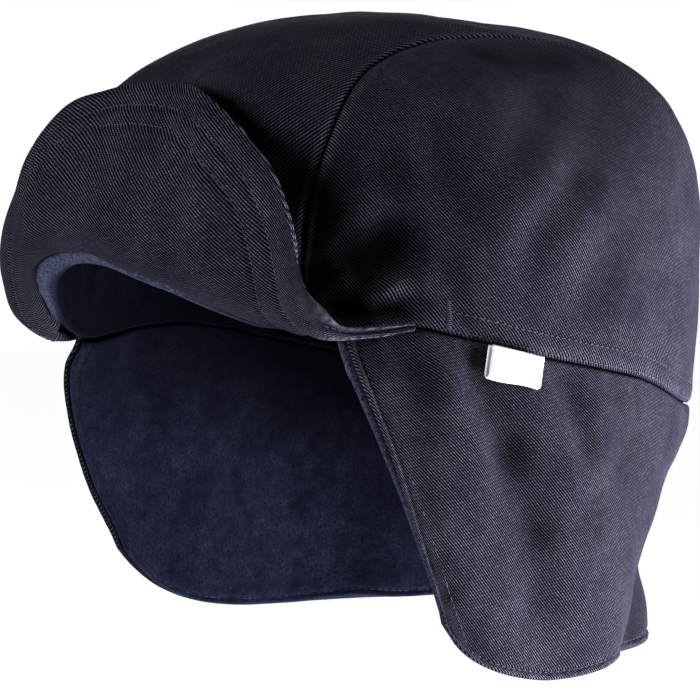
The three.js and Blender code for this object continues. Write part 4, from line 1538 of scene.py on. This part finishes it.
class MakeStitching(Operator):
    """Make the rows of topstitching on the crown, the peak and the flaps."""

    bl_idname = "winter_cap.stitching"
    bl_label = "Stitching"

    def execute(self, context):
        trim = look("cap_trim")
        material = thread_material("navy_thread", trim)

        def crown_path(angle, lift):
            points, normals = crown_point(angle, lift), crown_normal(angle, lift)
            rim_gap = chord(points, crown_point(angle, 0 * angle))
            relief = crown_relief(points, angle, rim_gap, np.full(angle.shape, FAR_AWAY))
            return moved(points, normals, relief + crown_folds(points, rim_gap)), normals

        bm = bmesh.new()
        angle = np.linspace(BARTACK_ANGLE, 360 - BARTACK_ANGLE, 900)
        angle = np.where(angle > 180, angle - 360, angle)
        rim = crown_point(angle, 0 * angle)
        for height in CROWN_ROWS:
            lift = halve(
                lambda l: height - chord(crown_point(angle, l), rim), 0 * angle, 0 * angle + 0.5
            )
            sew(bm, *crown_path(angle, lift), trim, 0.3)
        for end in (1, -1):
            path = crown_path(np.full(20, end * BARTACK_ANGLE), np.linspace(*BARTACK_LIFTS, 20))
            sew(bm, *path, trim, 0.4, BARTACK_PITCH, True)
        finish_thread("crown_stitches", bm, material)

        def sew_peak(angle, out, gap):
            points, normals = peak_shape(angle, out), peak_shape_normal(angle, out)
            relief = peak_relief(points, angle, out, gap)
            sew(bm, moved(points, normals, relief), normals, trim, 0.3)

        bm = bmesh.new()
        for inset in PEAK_ROWS:
            angle = np.linspace(-PEAK_END_ANGLE, PEAK_END_ANGLE, 600)
            fold_gap = peak_edge_gap(peak_shape(angle, 0 * angle))
            angle = angle[(fold_gap > inset) & (np.abs(angle) < NARROW[1])]
            out = halve(
                lambda o: peak_edge_gap(peak_shape(angle, o)) - inset, 0 * angle, 1 + 0 * angle
            )
            sew_peak(angle, out, np.full(angle.shape, inset))
        for end in (1, -1):
            angle = end * np.linspace(*GROOVE_ANGLES, 100)
            out = np.full(angle.shape, 0.5)
            sew_peak(angle, out, peak_edge_gap(peak_shape(angle, out)))
        finish_thread("peak_stitches", bm, material)

        bm = bmesh.new()
        steps = np.linspace(0.01, 1, 300)
        left = stack((FLAP_INSET + front_step(steps)) / edge_rate(0.0, steps), steps)
        right = stack(1 - FLAP_INSET / edge_rate(1.0, steps), steps)[::-1]
        sweep = np.linspace(0, 1, 900)
        drop = chord(curtain_point(sweep, 0 * sweep), curtain_point(sweep, 1 + 0 * sweep))
        bottom = stack(sweep, 1 - FLAP_INSET / drop)
        bottom = bottom[(sweep > left[-1, 0]) & (sweep < right[0, 0])]
        left = left[left[:, 1] < bottom[0, 1]]
        right = right[right[:, 1] < bottom[-1, 1]]
        across, down = np.concatenate([left, bottom, right]).T
        points, normals = curtain_point(across, down), curtain_normal(across, down)
        rim_gap = chord(points, curtain_point(across, 0 * across))
        inset = np.full(across.shape, FLAP_INSET)
        fold = flap_folds(points, inset)
        relief = curtain_relief(points, across, down, inset, rim_gap) + fold
        sew(bm, moved(points, normals, relief), normals, trim, 0.2)
        depth = LINING_DEPTH + LINING_WALL - THREAD_SINK
        sew(bm, moved(points, normals, fold - depth), -normals, trim, 0.0)
        finish_thread("flap_stitches", bm, material)
        return {"FINISHED"}


class MakeStage(Operator):
    """Make the pale floor, the soft light and the camera."""

    bl_idname = "winter_cap.stage"
    bl_label = "Stage"

    def execute(self, context):
        stage = look("cap_stage")
        bm = bmesh.new()
        bmesh.ops.create_grid(bm, x_segments=1, y_segments=1, size=6)
        bmesh.ops.translate(bm, verts=bm.verts, vec=(0, 0, -stage.floor_drop))
        floor = finish_mesh("floor", bm)
        material, tree, shader = new_material("pale_floor", 0.9, 0, 0.5, stage.floor)
        mist = grain(tree, millimetres(tree, "object"), 0.01, 3.0)
        mist = rescale(tree, mist, 0.3, 0.7, 0, 0.06)
        pale = blend(tree, mist, (*stage.floor, 1), (0.7, 0.7, 0.7, 1))
        plug(tree, shader.inputs["Base Color"], pale)
        seen = add(tree, "ShaderNodeLightPath").outputs["Is Camera Ray"]
        shader.inputs["Emission Color"].default_value = (1, 1, 1, 1)
        plug(tree, shader.inputs["Emission Strength"], rescale(tree, seen, 0, 1, 0.04, 0.95))
        floor.data.materials.append(material)

        world = bpy.data.worlds.new("studio")
        world.use_nodes = True
        tree = world.node_tree
        background = tree.nodes["Background"]
        background.inputs["Color"].default_value = (1, 1, 1, 1)
        seen = add(tree, "ShaderNodeLightPath").outputs["Is Camera Ray"]
        plug(tree, background.inputs["Strength"], rescale(tree, seen, 0, 1, 0.035, 1.0))
        context.scene.world = world

        azimuth, elevation = stage.camera_azimuth, stage.camera_elevation
        forward = Vector((math.sin(azimuth), -math.cos(azimuth), 0))
        up = Vector((0, 0, 1))
        lights = (
            ("key", 141, 5, 1.1, 0.5, 15.6),
            ("top", 163, 34, 1.2, 0.3, 6.5),
            ("low", 132, -36, 0.6, 0.35, 10.5),
            ("fill", 6, 10, 1.3, 0.5, 22),
            ("back", 235, 8, 1.3, 0.6, 14),
        )
        for name, turn, rise, reach, size, power in lights:
            turn, rise = math.radians(turn), math.radians(rise)
            level = Vector((math.sin(turn), -math.cos(turn), 0))
            place = (level * math.cos(rise) + up * math.sin(rise)) * reach
            data = bpy.data.lights.new(name, "AREA")
            data.shape = "DISK"
            data.size = size
            data.energy = power
            lamp = bpy.data.objects.new(name, data)
            lamp.location = place
            lamp.rotation_euler = (-place).to_track_quat("-Z", "Y").to_euler()
            context.scene.collection.objects.link(lamp)

        aim = Vector((0, 0, -9 * MM))
        view = forward * math.cos(elevation) + up * math.sin(elevation)
        data = bpy.data.cameras.new("camera")
        data.sensor_width = 36
        pixels, pixels_per_mm, middle, column = 700, 3.25, 350, 370
        data.lens = data.sensor_width * stage.camera_distance / (pixels / pixels_per_mm * MM)
        data.shift_x = (middle - column) / pixels
        data.clip_start = 0.05
        camera = bpy.data.objects.new("camera", data)
        camera.location = aim + view * stage.camera_distance
        camera.rotation_euler = (-view).to_track_quat("-Z", "Y").to_euler()
        context.scene.collection.objects.link(camera)
        context.scene.camera = camera
        context.scene.view_settings.view_transform = "Standard"
        context.scene.view_settings.gamma = 0.68
        return {"FINISHED"}


class CapPanel(Panel):
    """Lists the cap's operators and looks."""

    bl_idname = "VIEW3D_PT_winter_cap"
    bl_label = "Winter cap"
    bl_space_type = "VIEW_3D"
    bl_region_type = "UI"
    bl_category = "Winter cap"

    def draw(self, context):
        for operator in OPERATORS:
            self.layout.operator(operator.bl_idname)
        for name in LOOKS:
            group = getattr(context.scene, name)
            box = self.layout.box()
            for key in group.__annotations__:
                box.prop(group, key)


LOOKS = {
    "cap_twill": TwillLook,
    "cap_plush": PlushLook,
    "cap_trim": TrimLook,
    "cap_stage": StageLook,
}
OPERATORS = (
    MakeStage,
    MakeCrown,
    MakeCurtain,
    MakeLinings,
    MakePeak,
    MakeTag,
    MakeStitching,
)


def register():
    for item in (*LOOKS.values(), *OPERATORS, CapPanel):
        bpy.utils.register_class(item)
    for name, group in LOOKS.items():
        setattr(bpy.types.Scene, name, PointerProperty(type=group))


def unregister():
    for name in LOOKS:
        delattr(bpy.types.Scene, name)
    for item in reversed((*LOOKS.values(), *OPERATORS, CapPanel)):
        bpy.utils.unregister_class(item)


def main():
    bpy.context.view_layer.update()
    register()
    for operator in OPERATORS:
        group, name = operator.bl_idname.split(".")
        getattr(getattr(bpy.ops, group), name)()


if __name__ == "__main__":
    main()
